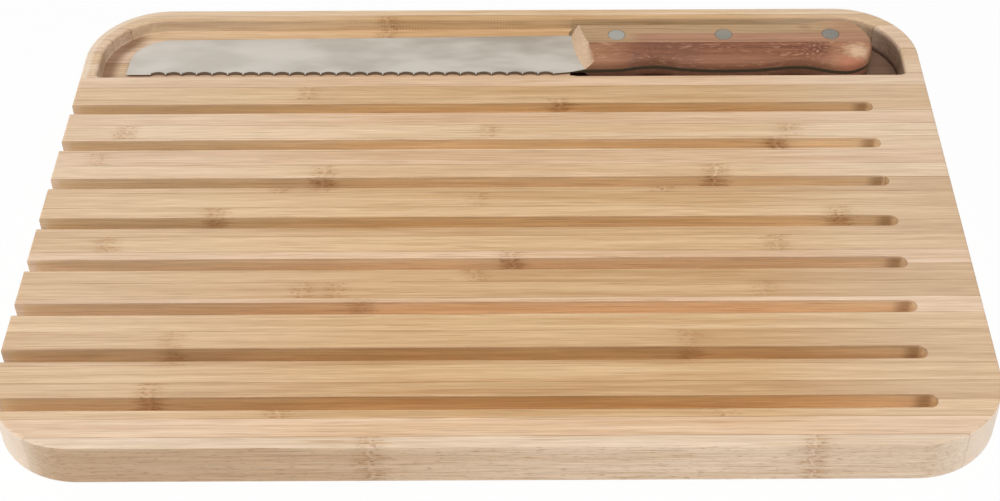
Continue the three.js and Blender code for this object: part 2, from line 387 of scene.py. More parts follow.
class Wiring:
    """Adds nodes to a tree and links them, so that a finish reads as a list of steps."""

    def __init__(self, tree: bpy.types.NodeTree) -> None:
        """Keep the tree that the nodes go into."""
        self.tree = tree

    def add(self, kind: str, **settings: object) -> bpy.types.Node:
        """A new node with some of its settings.

        Args:
            kind: The node's type.
            **settings: Its settings.

        Returns:
            The node.
        """
        node = self.tree.nodes.new(kind)
        for name, value in settings.items():
            setattr(node, name, value)
        return node

    def feed(self, socket: Socket, value: Value) -> None:
        """Link a socket into another, or set it to a plain value.

        Args:
            socket: The input.
            value: A socket or a plain value.
        """
        if isinstance(value, Socket):
            self.tree.links.new(value, socket)
        else:
            socket.default_value = value

    def fed(self, node: bpy.types.Node, *values: Value) -> bpy.types.Node:
        """The node with its first inputs fed, in their order.

        Args:
            node: The node.
            *values: Sockets or plain values.

        Returns:
            The same node.
        """
        for socket, value in zip(node.inputs, values):
            self.feed(socket, value)
        return node

    def maths(self, operation: str, *values: Value, clamp: bool = False) -> Socket:
        """The outcome of a maths node."""
        node = self.add("ShaderNodeMath", operation=operation, use_clamp=clamp)
        return self.fed(node, *values).outputs[0]

    def product(self, *values: Value) -> Socket:
        """The values multiplied, in their order."""
        return reduce(lambda so_far, value: self.maths("MULTIPLY", so_far, value), values)

    def total(self, first: Value, second: Value) -> Socket:
        """Two values added."""
        return self.maths("ADD", first, second)

    def less(self, value: Value, taken: Value) -> Socket:
        """A value with another taken from it."""
        return self.maths("SUBTRACT", value, taken)

    def rest(self, share: Value) -> Socket:
        """What a share leaves of one."""
        return self.less(1.0, share)

    def higher(self, first: Value, second: Value) -> Socket:
        """The higher of two values."""
        return self.maths("MAXIMUM", first, second)

    def unsigned(self, value: Value) -> Socket:
        """A value without its sign."""
        return self.maths("ABSOLUTE", value)

    def root_of_squares(self, first: Value, second: Value) -> Socket:
        """The length of a slanted line from its reach in two square ways."""
        squares = [self.maths("POWER", value, 2.0) for value in (first, second)]
        return self.maths("SQRT", self.total(*squares))

    def vector(self, operation: str, *values: Value) -> Socket:
        """The vector that a vector maths node gives."""
        return self.fed(self.add("ShaderNodeVectorMath", operation=operation), *values).outputs[0]

    def scaled(self, vector: Value, factors: Sequence[float]) -> Socket:
        """A vector, each part times its factor."""
        return self.vector("MULTIPLY", vector, factors)

    def split(self, vector: Value) -> tuple[Socket, ...]:
        """X, Y and Z of a vector."""
        return tuple(self.fed(self.add("ShaderNodeSeparateXYZ"), vector).outputs)

    def combine(self, x: Value, y: Value, z: Value) -> Socket:
        """A vector from its three parts."""
        return self.fed(self.add("ShaderNodeCombineXYZ"), x, y, z).outputs[0]

    def stretched(self, parts: Sequence[Value], factors: Sequence[float]) -> Socket:
        """A vector from three parts, each times its factor.

        Args:
            parts: X, Y and Z.
            factors: A factor for each.

        Returns:
            The vector.
        """
        return self.combine(*(
            part if factor == 1 else self.product(part, factor)
            for part, factor in zip(parts, factors)
        ))

    def spread(self, value: Value, low: float, high: float,
               to_low: float = 0.0, to_high: float = 1.0) -> Socket:
        """A value moved softly from one range to another, and held inside it."""
        node = self.add("ShaderNodeMapRange", interpolation_type="SMOOTHSTEP")
        return self.fed(node, value, low, high, to_low, to_high).outputs[0]

    def fade(self, value: Value, low: float, high: float, start: float = 1.0) -> Socket:
        """A share that falls softly to zero while the value rises from low to high."""
        return self.spread(value, low, high, start, 0.0)

    def noise(self, vector: Value, detail: float = 2.0, roughness: float = 0.5) -> Socket:
        """Soft noise about half, one cell to a unit of the vector.

        Args:
            vector: The place.
            detail: Number of finer layers.
            roughness: Strength of the finer layers.

        Returns:
            The noise.
        """
        node = self.add("ShaderNodeTexNoise")
        settings = {"Vector": vector, "Scale": 1.0, "Detail": detail, "Roughness": roughness}
        for name, value in settings.items():
            self.feed(node.inputs[name], value)
        return node.outputs[0]

    def blend(self, share: Value, first: Value, second: Value, way: str = "MIX") -> Socket:
        """A colour between two colours.

        Args:
            share: Share of the second colour.
            first: The first colour.
            second: The second colour.
            way: How they are blended.

        Returns:
            The colour.
        """
        node = self.add("ShaderNodeMix", data_type="RGBA", blend_type=way)
        for place, value in ((0, share), (6, first), (7, second)):
            self.feed(node.inputs[place], value)
        return node.outputs[2]

    def multiplied(self, colour: Value, shade: Value) -> Socket:
        """A colour multiplied by a shade."""
        return self.blend(1.0, colour, shade, "MULTIPLY")

    def grey(self, value: Value) -> Socket:
        """A value as a grey shade."""
        return self.combine(value, value, value)

    def group(self, tree: bpy.types.NodeTree, **values: Value) -> bpy.types.Node:
        """A placed node group, its inputs fed by name with spaces as underscores.

        Args:
            tree: The group.
            **values: What its inputs are fed with.

        Returns:
            The placed group.
        """
        node = self.add("ShaderNodeGroup", node_tree=tree)
        for name, value in values.items():
            self.feed(node.inputs[name.replace("_", " ")], value)
        return node

    def coordinates(self) -> tuple[Socket, Socket]:
        """The place in the object's frame, in metres, and the way that the surface faces."""
        node = self.add("ShaderNodeTexCoord")
        return node.outputs["Object"], node.outputs["Normal"]


class SocketKind(Enum):
    """Kinds of socket on a node group."""

    FLOAT = "NodeSocketFloat"
    VECTOR = "NodeSocketVector"
    COLOUR = "NodeSocketColor"

    def named(self, *labels: str) -> dict[str, "SocketKind"]:
        """Sockets of this kind, by their names."""
        return dict.fromkeys(labels, self)


Sockets = dict[str, SocketKind]


def new_group(name: str, takes: Sockets, gives: Sockets
              ) -> tuple[Wiring, Sequence[Socket], Sequence[Socket]]:
    """An empty node group with its sockets.

    Args:
        name: Name of the group.
        takes: Its inputs.
        gives: Its outputs.

    Returns:
        The wiring of its tree, the sockets that give what it takes, and the sockets that
        take what it gives.
    """
    tree = bpy.data.node_groups.new(name, "ShaderNodeTree")
    for sockets, way in ((takes, "INPUT"), (gives, "OUTPUT")):
        for label, kind in sockets.items():
            tree.interface.new_socket(name=label, in_out=way, socket_type=kind.value)
    wiring = Wiring(tree)
    given, out = wiring.add("NodeGroupInput"), wiring.add("NodeGroupOutput")
    return wiring, given.outputs, out.inputs


@dataclass(frozen=True)
class Relief:
    """How much of a finish can be felt: the strength of its bumps and their depth in metres."""

    strength: float
    depth: float


def new_tree(owner: bpy.types.Material | bpy.types.World) -> Wiring:
    """The wiring of an emptied node tree of a material or world.

    Args:
        owner: The material or world.

    Returns:
        The wiring.
    """
    owner.use_nodes = True
    owner.node_tree.nodes.clear()
    return Wiring(owner.node_tree)


@dataclass(frozen=True)
class Finish:
    """What all finishes share: a name, and a surface shader with fine relief."""

    name: str

    def begin(self) -> tuple[Wiring, bpy.types.Node]:
        """A new material with a surface shader and its output.

        Returns:
            The wiring of its tree and the surface shader.
        """
        wiring = new_tree(bpy.data.materials.new(self.name))
        shader = wiring.add("ShaderNodeBsdfPrincipled")
        output = wiring.add("ShaderNodeOutputMaterial")
        wiring.feed(output.inputs["Surface"], shader.outputs[0])
        return wiring, shader

    def complete(self, w: Wiring, shader: bpy.types.Node, colour: Socket, roughness: Socket,
                 height: Socket, relief: Relief) -> bpy.types.Material:
        """Feed the surface shader.

        Args:
            w: Wiring of the material's tree.
            shader: The surface shader.
            colour: Its colour.
            roughness: Its roughness.
            height: Height of its fine relief.
            relief: How much of the relief can be felt.

        Returns:
            The material.
        """
        bump = w.add("ShaderNodeBump")
        bump.inputs["Strength"].default_value = relief.strength
        bump.inputs["Distance"].default_value = relief.depth
        w.feed(bump.inputs["Height"], height)
        w.feed(shader.inputs["Base Color"], colour)
        w.feed(shader.inputs["Roughness"], roughness)
        w.feed(shader.inputs["Normal"], bump.outputs["Normal"])
        return bpy.data.materials[self.name]


GRAIN_MASKS = ("Band", "Streak", "Fibre", "Thread")
KNOT_MASKS = ("Dense", "Squiggle", "Speck")


def outputs_of(node: bpy.types.Node, labels: Sequence[str]) -> dict[str, Socket]:
    """Some outputs of a node, by their names."""
    return {label: node.outputs[label] for label in labels}


class BambooColour(Enum):
    """Colours that every piece of bamboo shares."""

    PAINTED_SHEEN = srgb(243, 229, 214)
    SPECK = srgb(128, 84, 52)
    GLUE = srgb(150, 108, 70)


class CutColour(Enum):
    """Colours on the cut faces of the board, and the painted shades that darken it."""

    RED_BLOTCH = srgb(150, 88, 56)
    TICK = srgb(120, 78, 46)
    END_GRAIN_AND_SIDE_LIGHT = srgb(247, 230, 211)
    LEFT_RIM = srgb(244, 226, 204)
    DASH = srgb(140, 98, 68)
    LEFT_FOOT_SHADE = (0.46, 0.38, 0.34, 1)
    FLOOR_STRIP_SHADE = (0.88, 0.76, 0.74, 1)
    BAY_WALL_SHADE = (0.4, 0.345, 0.33, 1)
    BAY_DEPTH_SHADE = (0.27, 0.22, 0.21, 1)
    GROOVE_END_SHADE = (0.6, 0.53, 0.48, 1)
    FRONT_SHADE = (0.75, 0.66, 0.55, 1)


class BambooGroups:
    """Node groups that every piece of bamboo shares, built once."""

    def __init__(self) -> None:
        """Build the groups."""
        self.grain = self._grain()
        self.knot = self._knot()
        self.seam = self._seam()
        self.tint = self._tint()
        self.routed = CutFaces().tree()

    def _grain(self) -> bpy.types.NodeTree:
        """Long fibres along X: slow bands, streaks, fine fibres and sparse dark threads.

        Returns:
            The group.
        """
        takes = {**SocketKind.VECTOR.named("Place"), **SocketKind.FLOAT.named("Seed")}
        w, given, out = new_group("bamboo_grain", takes, SocketKind.FLOAT.named(*GRAIN_MASKS))
        shift = w.combine(*(w.product(given["Seed"], step) for step in (3.7, 7.9, 5.3)))

        def at(length: float, width: float, offset: float) -> Socket:
            """The place in cells of one length and width, moved by the seed."""
            cells = w.scaled(given["Place"], (1000 / length, 1000 / width, 1000 / width))
            return w.vector("ADD", w.vector("ADD", cells, shift), (offset, offset, offset))

        band = w.noise(at(130, 3.6, 0), 1.0)
        streak = w.noise(at(58, 0.95, 11), 2.5, 0.55)
        thread = w.noise(at(27, 0.5, 37), 1.0)
        w.feed(out["Band"], w.spread(band, 0.32, 0.68))
        w.feed(out["Streak"], w.spread(streak, 0.34, 0.66))
        w.feed(out["Fibre"], w.noise(at(16, 0.36, 23), 2.0, 0.6))
        w.feed(out["Thread"], w.spread(thread, 0.6, 0.72))
        return w.tree

    def _knot(self) -> bpy.types.NodeTree:
        """A knot of the culm: denser fibre about one place along X, and a pale squiggle.

        Returns:
            The group.
        """
        takes = {**SocketKind.VECTOR.named("Place"), **SocketKind.FLOAT.named("Knot X", "Seed")}
        w, given, out = new_group("bamboo_knot", takes, SocketKind.FLOAT.named(*KNOT_MASKS))
        millimetres = w.scaled(given["Place"], TO_MM)
        x, y, z = w.split(millimetres)
        # The knot's line wavers from batten to batten, and its ends are ragged.
        waver = w.noise(w.stretched((w.product(given["Seed"], 9.1), y, z), (1, 0.55, 0.55)), 2.0)
        bend = w.product(w.less(waver, 0.5), 7.0)
        far = w.unsigned(w.total(w.less(x, given["Knot X"]), bend))
        reach = w.product(w.noise(w.stretched((x, y, z), (0.12, 1.2, 1)), 1.0), 14.0)
        dense = w.fade(w.maths("DIVIDE", far, w.total(reach, 1.0)), 0.15, 1.0)
        speck = w.noise(w.scaled(millimetres, (0.45, 1.5, 1.5)), 1.0)
        w.feed(out["Dense"], dense)
        w.feed(out["Squiggle"], w.fade(far, 0.25, 0.9))
        w.feed(out["Speck"], w.product(dense, w.spread(speck, 0.56, 0.66)))
        return w.tree

    def _seam(self) -> bpy.types.NodeTree:
        """The fine glue line along both sides of a batten, broken up along its length.

        Returns:
            The group.
        """
        takes = {**SocketKind.VECTOR.named("Place"), **SocketKind.FLOAT.named("Front Y", "Back Y")}
        w, given, out = new_group("glue_seam", takes, SocketKind.FLOAT.named("Line"))
        millimetres = w.scaled(given["Place"], TO_MM)
        y = w.split(millimetres)[1]
        nearest = w.maths("MINIMUM", w.less(y, given["Front Y"]), w.less(given["Back Y"], y))
        patch = w.noise(w.scaled(millimetres, (0.03, 0.2, 0.2)), 2.0)
        line = w.product(w.fade(nearest, 0.08, 0.3), w.spread(patch, 0.35, 0.6, 0.3, 1.0))
        w.feed(out["Line"], line)
        return w.tree

    def _tint(self) -> bpy.types.NodeTree:
        """The colour and relief of bamboo from its grain, knots and seams, with a painted sheen.

        Returns:
            The group.
        """
        masks = (*GRAIN_MASKS, *KNOT_MASKS, "Line")
        takes = {
            **SocketKind.FLOAT.named(*masks),
            **SocketKind.COLOUR.named("Light", "Dark", "Thread Colour"),
            **SocketKind.FLOAT.named("Dry", "Shift"),
        }
        gives = {
            **SocketKind.COLOUR.named("Colour"),
            **SocketKind.FLOAT.named("Roughness", "Relief"),
        }
        w, given, out = new_group("bamboo_tint", takes, gives)
        band, streak, fibre, thread, dense, squiggle, speck, line = (given[m] for m in masks)
        # Grain
        tone = w.total(w.product(band, 0.45), w.product(streak, 0.55))
        tone = w.maths("ADD", tone, given["Shift"], clamp=True)
        colour = w.blend(tone, given["Dark"], given["Light"])
        colour = w.blend(w.product(thread, 0.5), colour, given["Thread Colour"])
        # Painted sheen, paler towards the board's ends
        colour = w.blend(given["Dry"], colour, BambooColour.PAINTED_SHEEN.value)
        colour = w.multiplied(colour, w.grey(w.spread(fibre, 0.2, 0.8, 0.86, 1.1)))
        # Knots
        coarse = w.product(dense, w.less(1.15, streak), 0.55)
        colour = w.blend(coarse, colour, given["Thread Colour"])
        colour = w.blend(w.product(speck, 0.6), colour, BambooColour.SPECK.value)
        colour = w.blend(w.product(squiggle, dense, 0.55), colour, given["Light"])
        # Glue lines
        colour = w.blend(w.product(line, 0.55), colour, BambooColour.GLUE.value)
        relief = w.total(w.product(fibre, 0.5), w.product(streak, 0.5))
        w.feed(out["Colour"], colour)
        w.feed(out["Roughness"], w.spread(streak, 0.0, 1.0, 0.62, 0.5))
        w.feed(out["Relief"], w.less(relief, w.product(line, 0.8)))
        return w.tree


class Layers:
    """A colour that steps lay other colours and shades over, one after the other."""

    def __init__(self, w: Wiring) -> None:
        """Keep the wiring of the tree that the steps go into."""
        self.w = w
        self.colour: Value = WHITE

    def steps(self) -> Sequence[Callable[[], None]]:
        """The steps, in their order."""
        raise NotImplementedError

    def done(self) -> Value:
        """The colour after every step.

        Returns:
            The colour.
        """
        for step in self.steps():
            step()
        return self.colour

    def cover(self, share: Value, colour: Value) -> None:
        """Lay a colour over, by a share."""
        self.colour = self.w.blend(share, self.colour, colour)

    def shade(self, share: Value, shade: Value) -> None:
        """Multiply by a shade, by a share."""
        self.colour = self.w.blend(share, self.colour, self.w.multiplied(self.colour, shade))


class CutFaces(Layers):
    """Builds the node group that colours the cut faces of the board and paints light and shade on
    them.

    A mask is one on its face and falls to zero away from it. Places are in millimetres.
    """

    def __init__(self) -> None:
        """Make the group's sockets and the masks that its steps share."""
        takes = {
            **SocketKind.COLOUR.named("Colour", "Wall Tint"),
            **SocketKind.VECTOR.named("Place", "Facing"),
            **SocketKind.FLOAT.named("Half Length", "Half Width", "Corner", "Top", "Groove End",
                                     "Shelf Front", "Chatter", "Dense"),
        }
        gives = SocketKind.COLOUR.named("Colour")
        w, self.given, self.out = new_group("routed_colour_and_shade", takes, gives)
        super().__init__(w)
        self.colour = self.given["Colour"]
        self.place = w.split(w.scaled(self.given["Place"], TO_MM))
        self.x, self.y, z = self.place
        self.across, self.aside, up = w.split(self.given["Facing"])
        self.past_edge = self._past_edge()
        self.inside = w.fade(self.past_edge, -4.0, -2.5)
        self.outer = w.rest(self.inside)
        self.steep = w.fade(w.unsigned(up), 0.3, 0.8)
        self.below = w.less(self.given["Top"], z)
        self.wall = w.product(self.inside, self.steep, w.spread(self.below, 0.5, 1.6))
        self.from_shelf = w.less(self.y, self.given["Shelf Front"])
        self.pocket = w.spread(self.from_shelf, -2.0, -1.0)

    def steps(self) -> Sequence[Callable[[], None]]:
        """The steps, in their order."""
        return (self._walls, self._red_blotches, self._pocket_floor, self._bay,
                self._groove_ends, self._router_ticks, self._outer_rims, self._front_face)

    def tree(self) -> bpy.types.NodeTree:
        """The finished group."""
        self.w.feed(self.out["Colour"], self.done())
        return self.w.tree

    def _past_edge(self) -> Socket:
        """How far a place lies past the board's outline.

        Returns:
            The distance, below zero inside the outline.
        """
        w, corner = self.w, self.given["Corner"]

        def past(part: Socket, half: str) -> Socket:
            """How far a part of the place lies past the start of the corner."""
            return w.less(w.unsigned(part), w.less(self.given[half], corner))

        past_x, past_y = past(self.x, "Half Length"), past(self.y, "Half Width")
        bent = w.root_of_squares(w.higher(past_x, 0.0), w.higher(past_y, 0.0))
        flat = w.maths("MINIMUM", w.higher(past_x, past_y), 0.0)
        return w.less(w.total(bent, flat), corner)

    def _noise(self, factors: Sequence[float], detail: float) -> Socket:
        """Noise in cells along X, Y and Z."""
        return self.w.noise(self.w.stretched(self.place, factors), detail)

    def _walls(self) -> None:
        """Painted light on groove and pocket walls: a lightening tint, a little darker on the left
        and lighter in front.
        """
        w = self.w
        light = w.product(w.spread(self.x, -150.0, -30.0, 0.86, 1.0),
                          w.spread(self.y, -120.0, -30.0, 1.14, 1.0))
        self.shade(self.wall, self.given["Wall Tint"])
        self.shade(self.wall, w.grey(light))

    def _red_blotches(self) -> None:
        """Redder knots on the groove walls."""
        share = self.w.product(self.wall, self.given["Dense"], 0.3, self.w.rest(self.pocket))
        self.cover(share, CutColour.RED_BLOTCH.value)

    def _pocket_floor(self) -> None:
        """The shelf: painted shade at the foot of its left wall and in a strip along its front."""
        w = self.w
        floor = w.product(self.inside, w.rest(self.steep),
                          w.product(self.pocket, w.spread(self.below, 4.0, 6.0)))
        foot_shade = w.product(w.spread(self.past_edge, -15.5, -10.2), w.fade(self.x, -172.0, -163.0))
        self.shade(w.product(floor, foot_shade), CutColour.LEFT_FOOT_SHADE.value)
        strip_shade = w.fade(self.from_shelf, 6.5, 10.0)
        self.shade(w.product(floor, strip_shade), CutColour.FLOOR_STRIP_SHADE.value)

    def _bay(self) -> None:
        """The bay: painted shade on its wall at the right, in patches, and painted shade that
        deepens towards its floor.
        """
        w = self.w
        right = w.spread(w.product(self.across, -1.0), 0.2, 0.9)
        patch = w.spread(self._noise((0.15, 0.4, 1), 2.0), 0.2, 0.7, 0.75, 1.0)
        wall_shade = w.product(self.wall, right, w.spread(self.below, 1.6, 3.6), self.pocket, patch)
        self.shade(wall_shade, CutColour.BAY_WALL_SHADE.value)
        self.shade(w.product(self.inside, w.spread(self.below, 10.4, 13.6)), CutColour.BAY_DEPTH_SHADE.value)

    def _groove_ends(self) -> None:
        """Painted shade on the wall just before the round end of a groove."""
        w = self.w
        off = w.less(self.x, w.less(self.given["Groove End"], 3.6))
        near_end = w.product(w.spread(off, -6.5, -0.8), w.fade(off, 0.6, 3.0))
        self.shade(w.product(self.wall, near_end), CutColour.GROOVE_END_SHADE.value)

    def _router_ticks(self) -> None:
        """Short upright ticks that the router left on a wall, in spots."""
        w = self.w
        tick = w.spread(w.maths("SINE", w.product(self.x, 4.4)), 0.3, 0.85)
        spots = w.spread(self._noise((0.06, 1, 0.9), 1.0), 0.5, 0.62)
        stretch = w.product(w.spread(self.x, -165.0, -150.0), w.fade(self.x, 20.0, 40.0))
        share = w.product(tick, self.wall, spots, stretch, self.given["Chatter"])
        self.cover(share, CutColour.TICK.value)

    def _outer_rims(self) -> None:
        """End grain lightened by painted side light on the outer ends, and a paler rim at the
        pocket's left end.
        """
        w = self.w
        ends = w.spread(w.unsigned(self.across), 0.1, 0.9)
        rim = w.product(self.outer, w.product(self.steep, ends), 0.85)
        self.cover(rim, CutColour.END_GRAIN_AND_SIDE_LIGHT.value)
        left_rim = w.product(self.outer, self.pocket, w.fade(self.x, -178.0, -145.0, 0.55))
        self.cover(left_rim, CutColour.LEFT_RIM.value)

    def _front_face(self) -> None:
        """The front face: painted shade that deepens towards the left, with short dark dashes."""
        w = self.w
        at_front = w.fade(w.total(self.y, self.given["Half Width"]), 4.0, 8.0)
        facing = w.spread(w.product(self.aside, -1.0), 0.8, 0.97)
        front = w.product(w.product(self.outer, at_front), w.product(self.steep, facing))
        front_shade = w.product(front, w.fade(self.x, -170.0, 120.0, 0.95))
        self.shade(front_shade, CutColour.FRONT_SHADE.value)
        dash = w.spread(self._noise((0.22, 1, 2.2), 2.0), 0.58, 0.68, 0.0, 0.5)
        self.cover(w.product(front, dash), CutColour.DASH.value)


class BambooTone(Enum):
    """Light and dark colour of a batten."""

    PALE = (srgb(237, 208, 173), srgb(216, 180, 139))
    ROSY = (srgb(234, 202, 169), srgb(212, 173, 135))
    HONEY = (srgb(226, 191, 148), srgb(200, 160, 114))
    DEEP = (srgb(218, 181, 138), srgb(190, 149, 104))
    FADED = (srgb(229, 205, 178), srgb(210, 180, 147))


@dataclass(frozen=True)
class RouterMarks:
    """What the router left on a batten's cut faces and the painted light on its walls; places in
    millimetres.
    """

    painted_wall_light: Colour = (1.13, 1.12, 0.98, 1.0)
    chatter: float = 0.03
    groove_end: float = 1000.0
    shelf_front: float = 1000.0


POCKET_WALL_PAINTED_LIGHT: Colour = (1.05, 1.09, 1.14, 1.0)
BACK_WALL_CHATTER = 0.26


@dataclass(frozen=True)
class BlankForm:
    """The board's outer form, as its finish needs it, in millimetres."""

    half_length: float
    half_width: float
    corner: float
    top: float


@dataclass(frozen=True)
class BambooFinish(Finish):
    """Finish of one batten: its tone, where its glue lines lie and where its knots are."""

    tone: BambooTone
    seed: float
    front: float
    back: float
    form: BlankForm
    knots: tuple[float, ...] = ()
    marks: RouterMarks = RouterMarks()
    painted_sheen_ends: float = 0.2
    knot_on_side: float = 0.85
    tone_step: float = 0.14
    thread: Colour = srgb(176, 130, 84)
    relief: Relief = Relief(0.35, 0.00012)
    specular: float = 0.35

    def material(self, groups: BambooGroups) -> bpy.types.Material:
        """The batten's material.

        Args:
            groups: The node groups that all bamboo shares.

        Returns:
            The material.
        """
        w, shader = self.begin()
        place, facing = w.coordinates()
        grain = w.group(groups.grain, Place=place, Seed=self.seed)
        seam = w.group(groups.seam, Place=place, Front_Y=self.front, Back_Y=self.back)
        x = w.split(place)[0]
        on_side = w.unsigned(w.split(facing)[2])
        on_top = w.spread(on_side, 0.3, 0.8, 1.0, self.knot_on_side)
        masks, shift = dict.fromkeys(KNOT_MASKS, 0.0), 0.0
        for i, knot_x in enumerate(self.knots):
            knot = w.group(groups.knot, Place=place, Knot_X=knot_x, Seed=self.seed)
            force = w.product(on_top, 0.78 + 0.22 * math.sin(2.3 * knot_x + self.seed))
            for label in KNOT_MASKS:
                masks[label] = w.higher(w.product(knot.outputs[label], force), masks[label])
            # The culm is lighter on one side of a knot than on the other.
            step = self.tone_step if (i + round(self.seed * 10)) % 2 else -self.tone_step
            stretch = w.spread(x, (knot_x - 2) * MM, (knot_x + 2) * MM, -step, step)
            shift = w.total(stretch, shift)
        # Painted sheen: paler towards both ends of the board
        painted_sheen = w.total(w.fade(x, -0.17, -0.03, self.painted_sheen_ends),
                      w.spread(x, 0.09, 0.165, 0.0, self.painted_sheen_ends))
        light, dark = self.tone.value
        tint = w.group(
            groups.tint, **outputs_of(grain, GRAIN_MASKS), **masks, Line=seam.outputs["Line"],
            Light=light, Dark=dark, Thread_Colour=self.thread, Dry=painted_sheen, Shift=shift,
        )
        routed = w.group(
            groups.routed, Colour=tint.outputs["Colour"], Place=place, Facing=facing,
            Half_Length=self.form.half_length, Half_Width=self.form.half_width,
            Corner=self.form.corner, Top=self.form.top, Dense=masks["Dense"],
            Wall_Tint=self.marks.painted_wall_light, Chatter=self.marks.chatter,
            Groove_End=self.marks.groove_end, Shelf_Front=self.marks.shelf_front,
        )
        shader.inputs["Specular IOR Level"].default_value = self.specular
        return self.complete(w, shader, routed.outputs["Colour"], tint.outputs["Roughness"],
                             tint.outputs["Relief"], self.relief)


@dataclass(frozen=True)
class BattenPlan:
    """What is seen of one batten: its tone and the places of its knots along X."""

    tone: BambooTone
    knots: tuple[float, ...] = ()


# From the back edge, by the pocket, to the front edge
BATTENS: tuple[BattenPlan, ...] = (
    BattenPlan(BambooTone.PALE),
    BattenPlan(BambooTone.HONEY, (-54,)),
    BattenPlan(BambooTone.ROSY, (-171,)),
    BattenPlan(BambooTone.ROSY),
    BattenPlan(BambooTone.HONEY),
    BattenPlan(BambooTone.PALE),
    BattenPlan(BambooTone.ROSY),
    BattenPlan(BambooTone.HONEY, (-86,)),
    BattenPlan(BambooTone.HONEY, (26,)),
    BattenPlan(BambooTone.ROSY),
    BattenPlan(BambooTone.PALE, (-162.5, -6, 125)),
    BattenPlan(BambooTone.PALE, (119,)),
    BattenPlan(BambooTone.ROSY, (-172.5,)),
    BattenPlan(BambooTone.PALE, (-75, 91)),
    BattenPlan(BambooTone.DEEP, (-92.5, -75, 69)),
    BattenPlan(BambooTone.HONEY, (-9,)),
    BattenPlan(BambooTone.HONEY, (-117.5, 140)),
    BattenPlan(BambooTone.DEEP),
    BattenPlan(BambooTone.HONEY, (-159, 112.5)),
    BattenPlan(BambooTone.ROSY, (5,)),
    BattenPlan(BambooTone.DEEP, (-9,)),
    BattenPlan(BambooTone.DEEP, (-77.5, -64, 105)),
    BattenPlan(BambooTone.ROSY, (-54,)),
    BattenPlan(BambooTone.HONEY),
    BattenPlan(BambooTone.DEEP, (-125, 74)),
    BattenPlan(BambooTone.DEEP, (-125, 74)),
    BattenPlan(BambooTone.HONEY),
    BattenPlan(BambooTone.DEEP, (-130,)),
    BattenPlan(BambooTone.HONEY, (-81, 84)),
    BattenPlan(BambooTone.ROSY),
    BattenPlan(BambooTone.FADED, (-46, 116)),
)


@dataclass(frozen=True)
class BoardSizes:
    """Sizes of the board's outer form."""

    corner_radius: float = 35.0
    top_round: float = 1.2
    bottom_round: float = 1.0
    corner_steps: int = 24
    round_steps: int = 6


@dataclass(frozen=True)
class GrooveSizes:
    """Sizes of a crumb groove."""

    width: float = 6.5
    depth: float = 10.0
    edge_round: float = 0.35
    floor_round: float = 0.7
    tip_inset: float = 26.1
    end_steps: int = 24
    round_steps: int = 5


@dataclass(frozen=True)
class PocketSizes:
    """Sizes of the knife's pocket: a shallow shelf and a deep bay."""

    tip_rim: float = 7.0
    butt_rim: float = 7.6
    back_rim: float = 7.5
    width: float = 42.4
    spine_gap: float = 6.7
    front_radius: float = 3.0
    handle_front_gap: float = 1.2
    under_knife_gap: float = 0.2
    bay_allowance: float = 0.4
    edge_round: float = 1.5
    floor_round: float = 0.8
    round_steps: int = 6
    corner_steps: int = 18


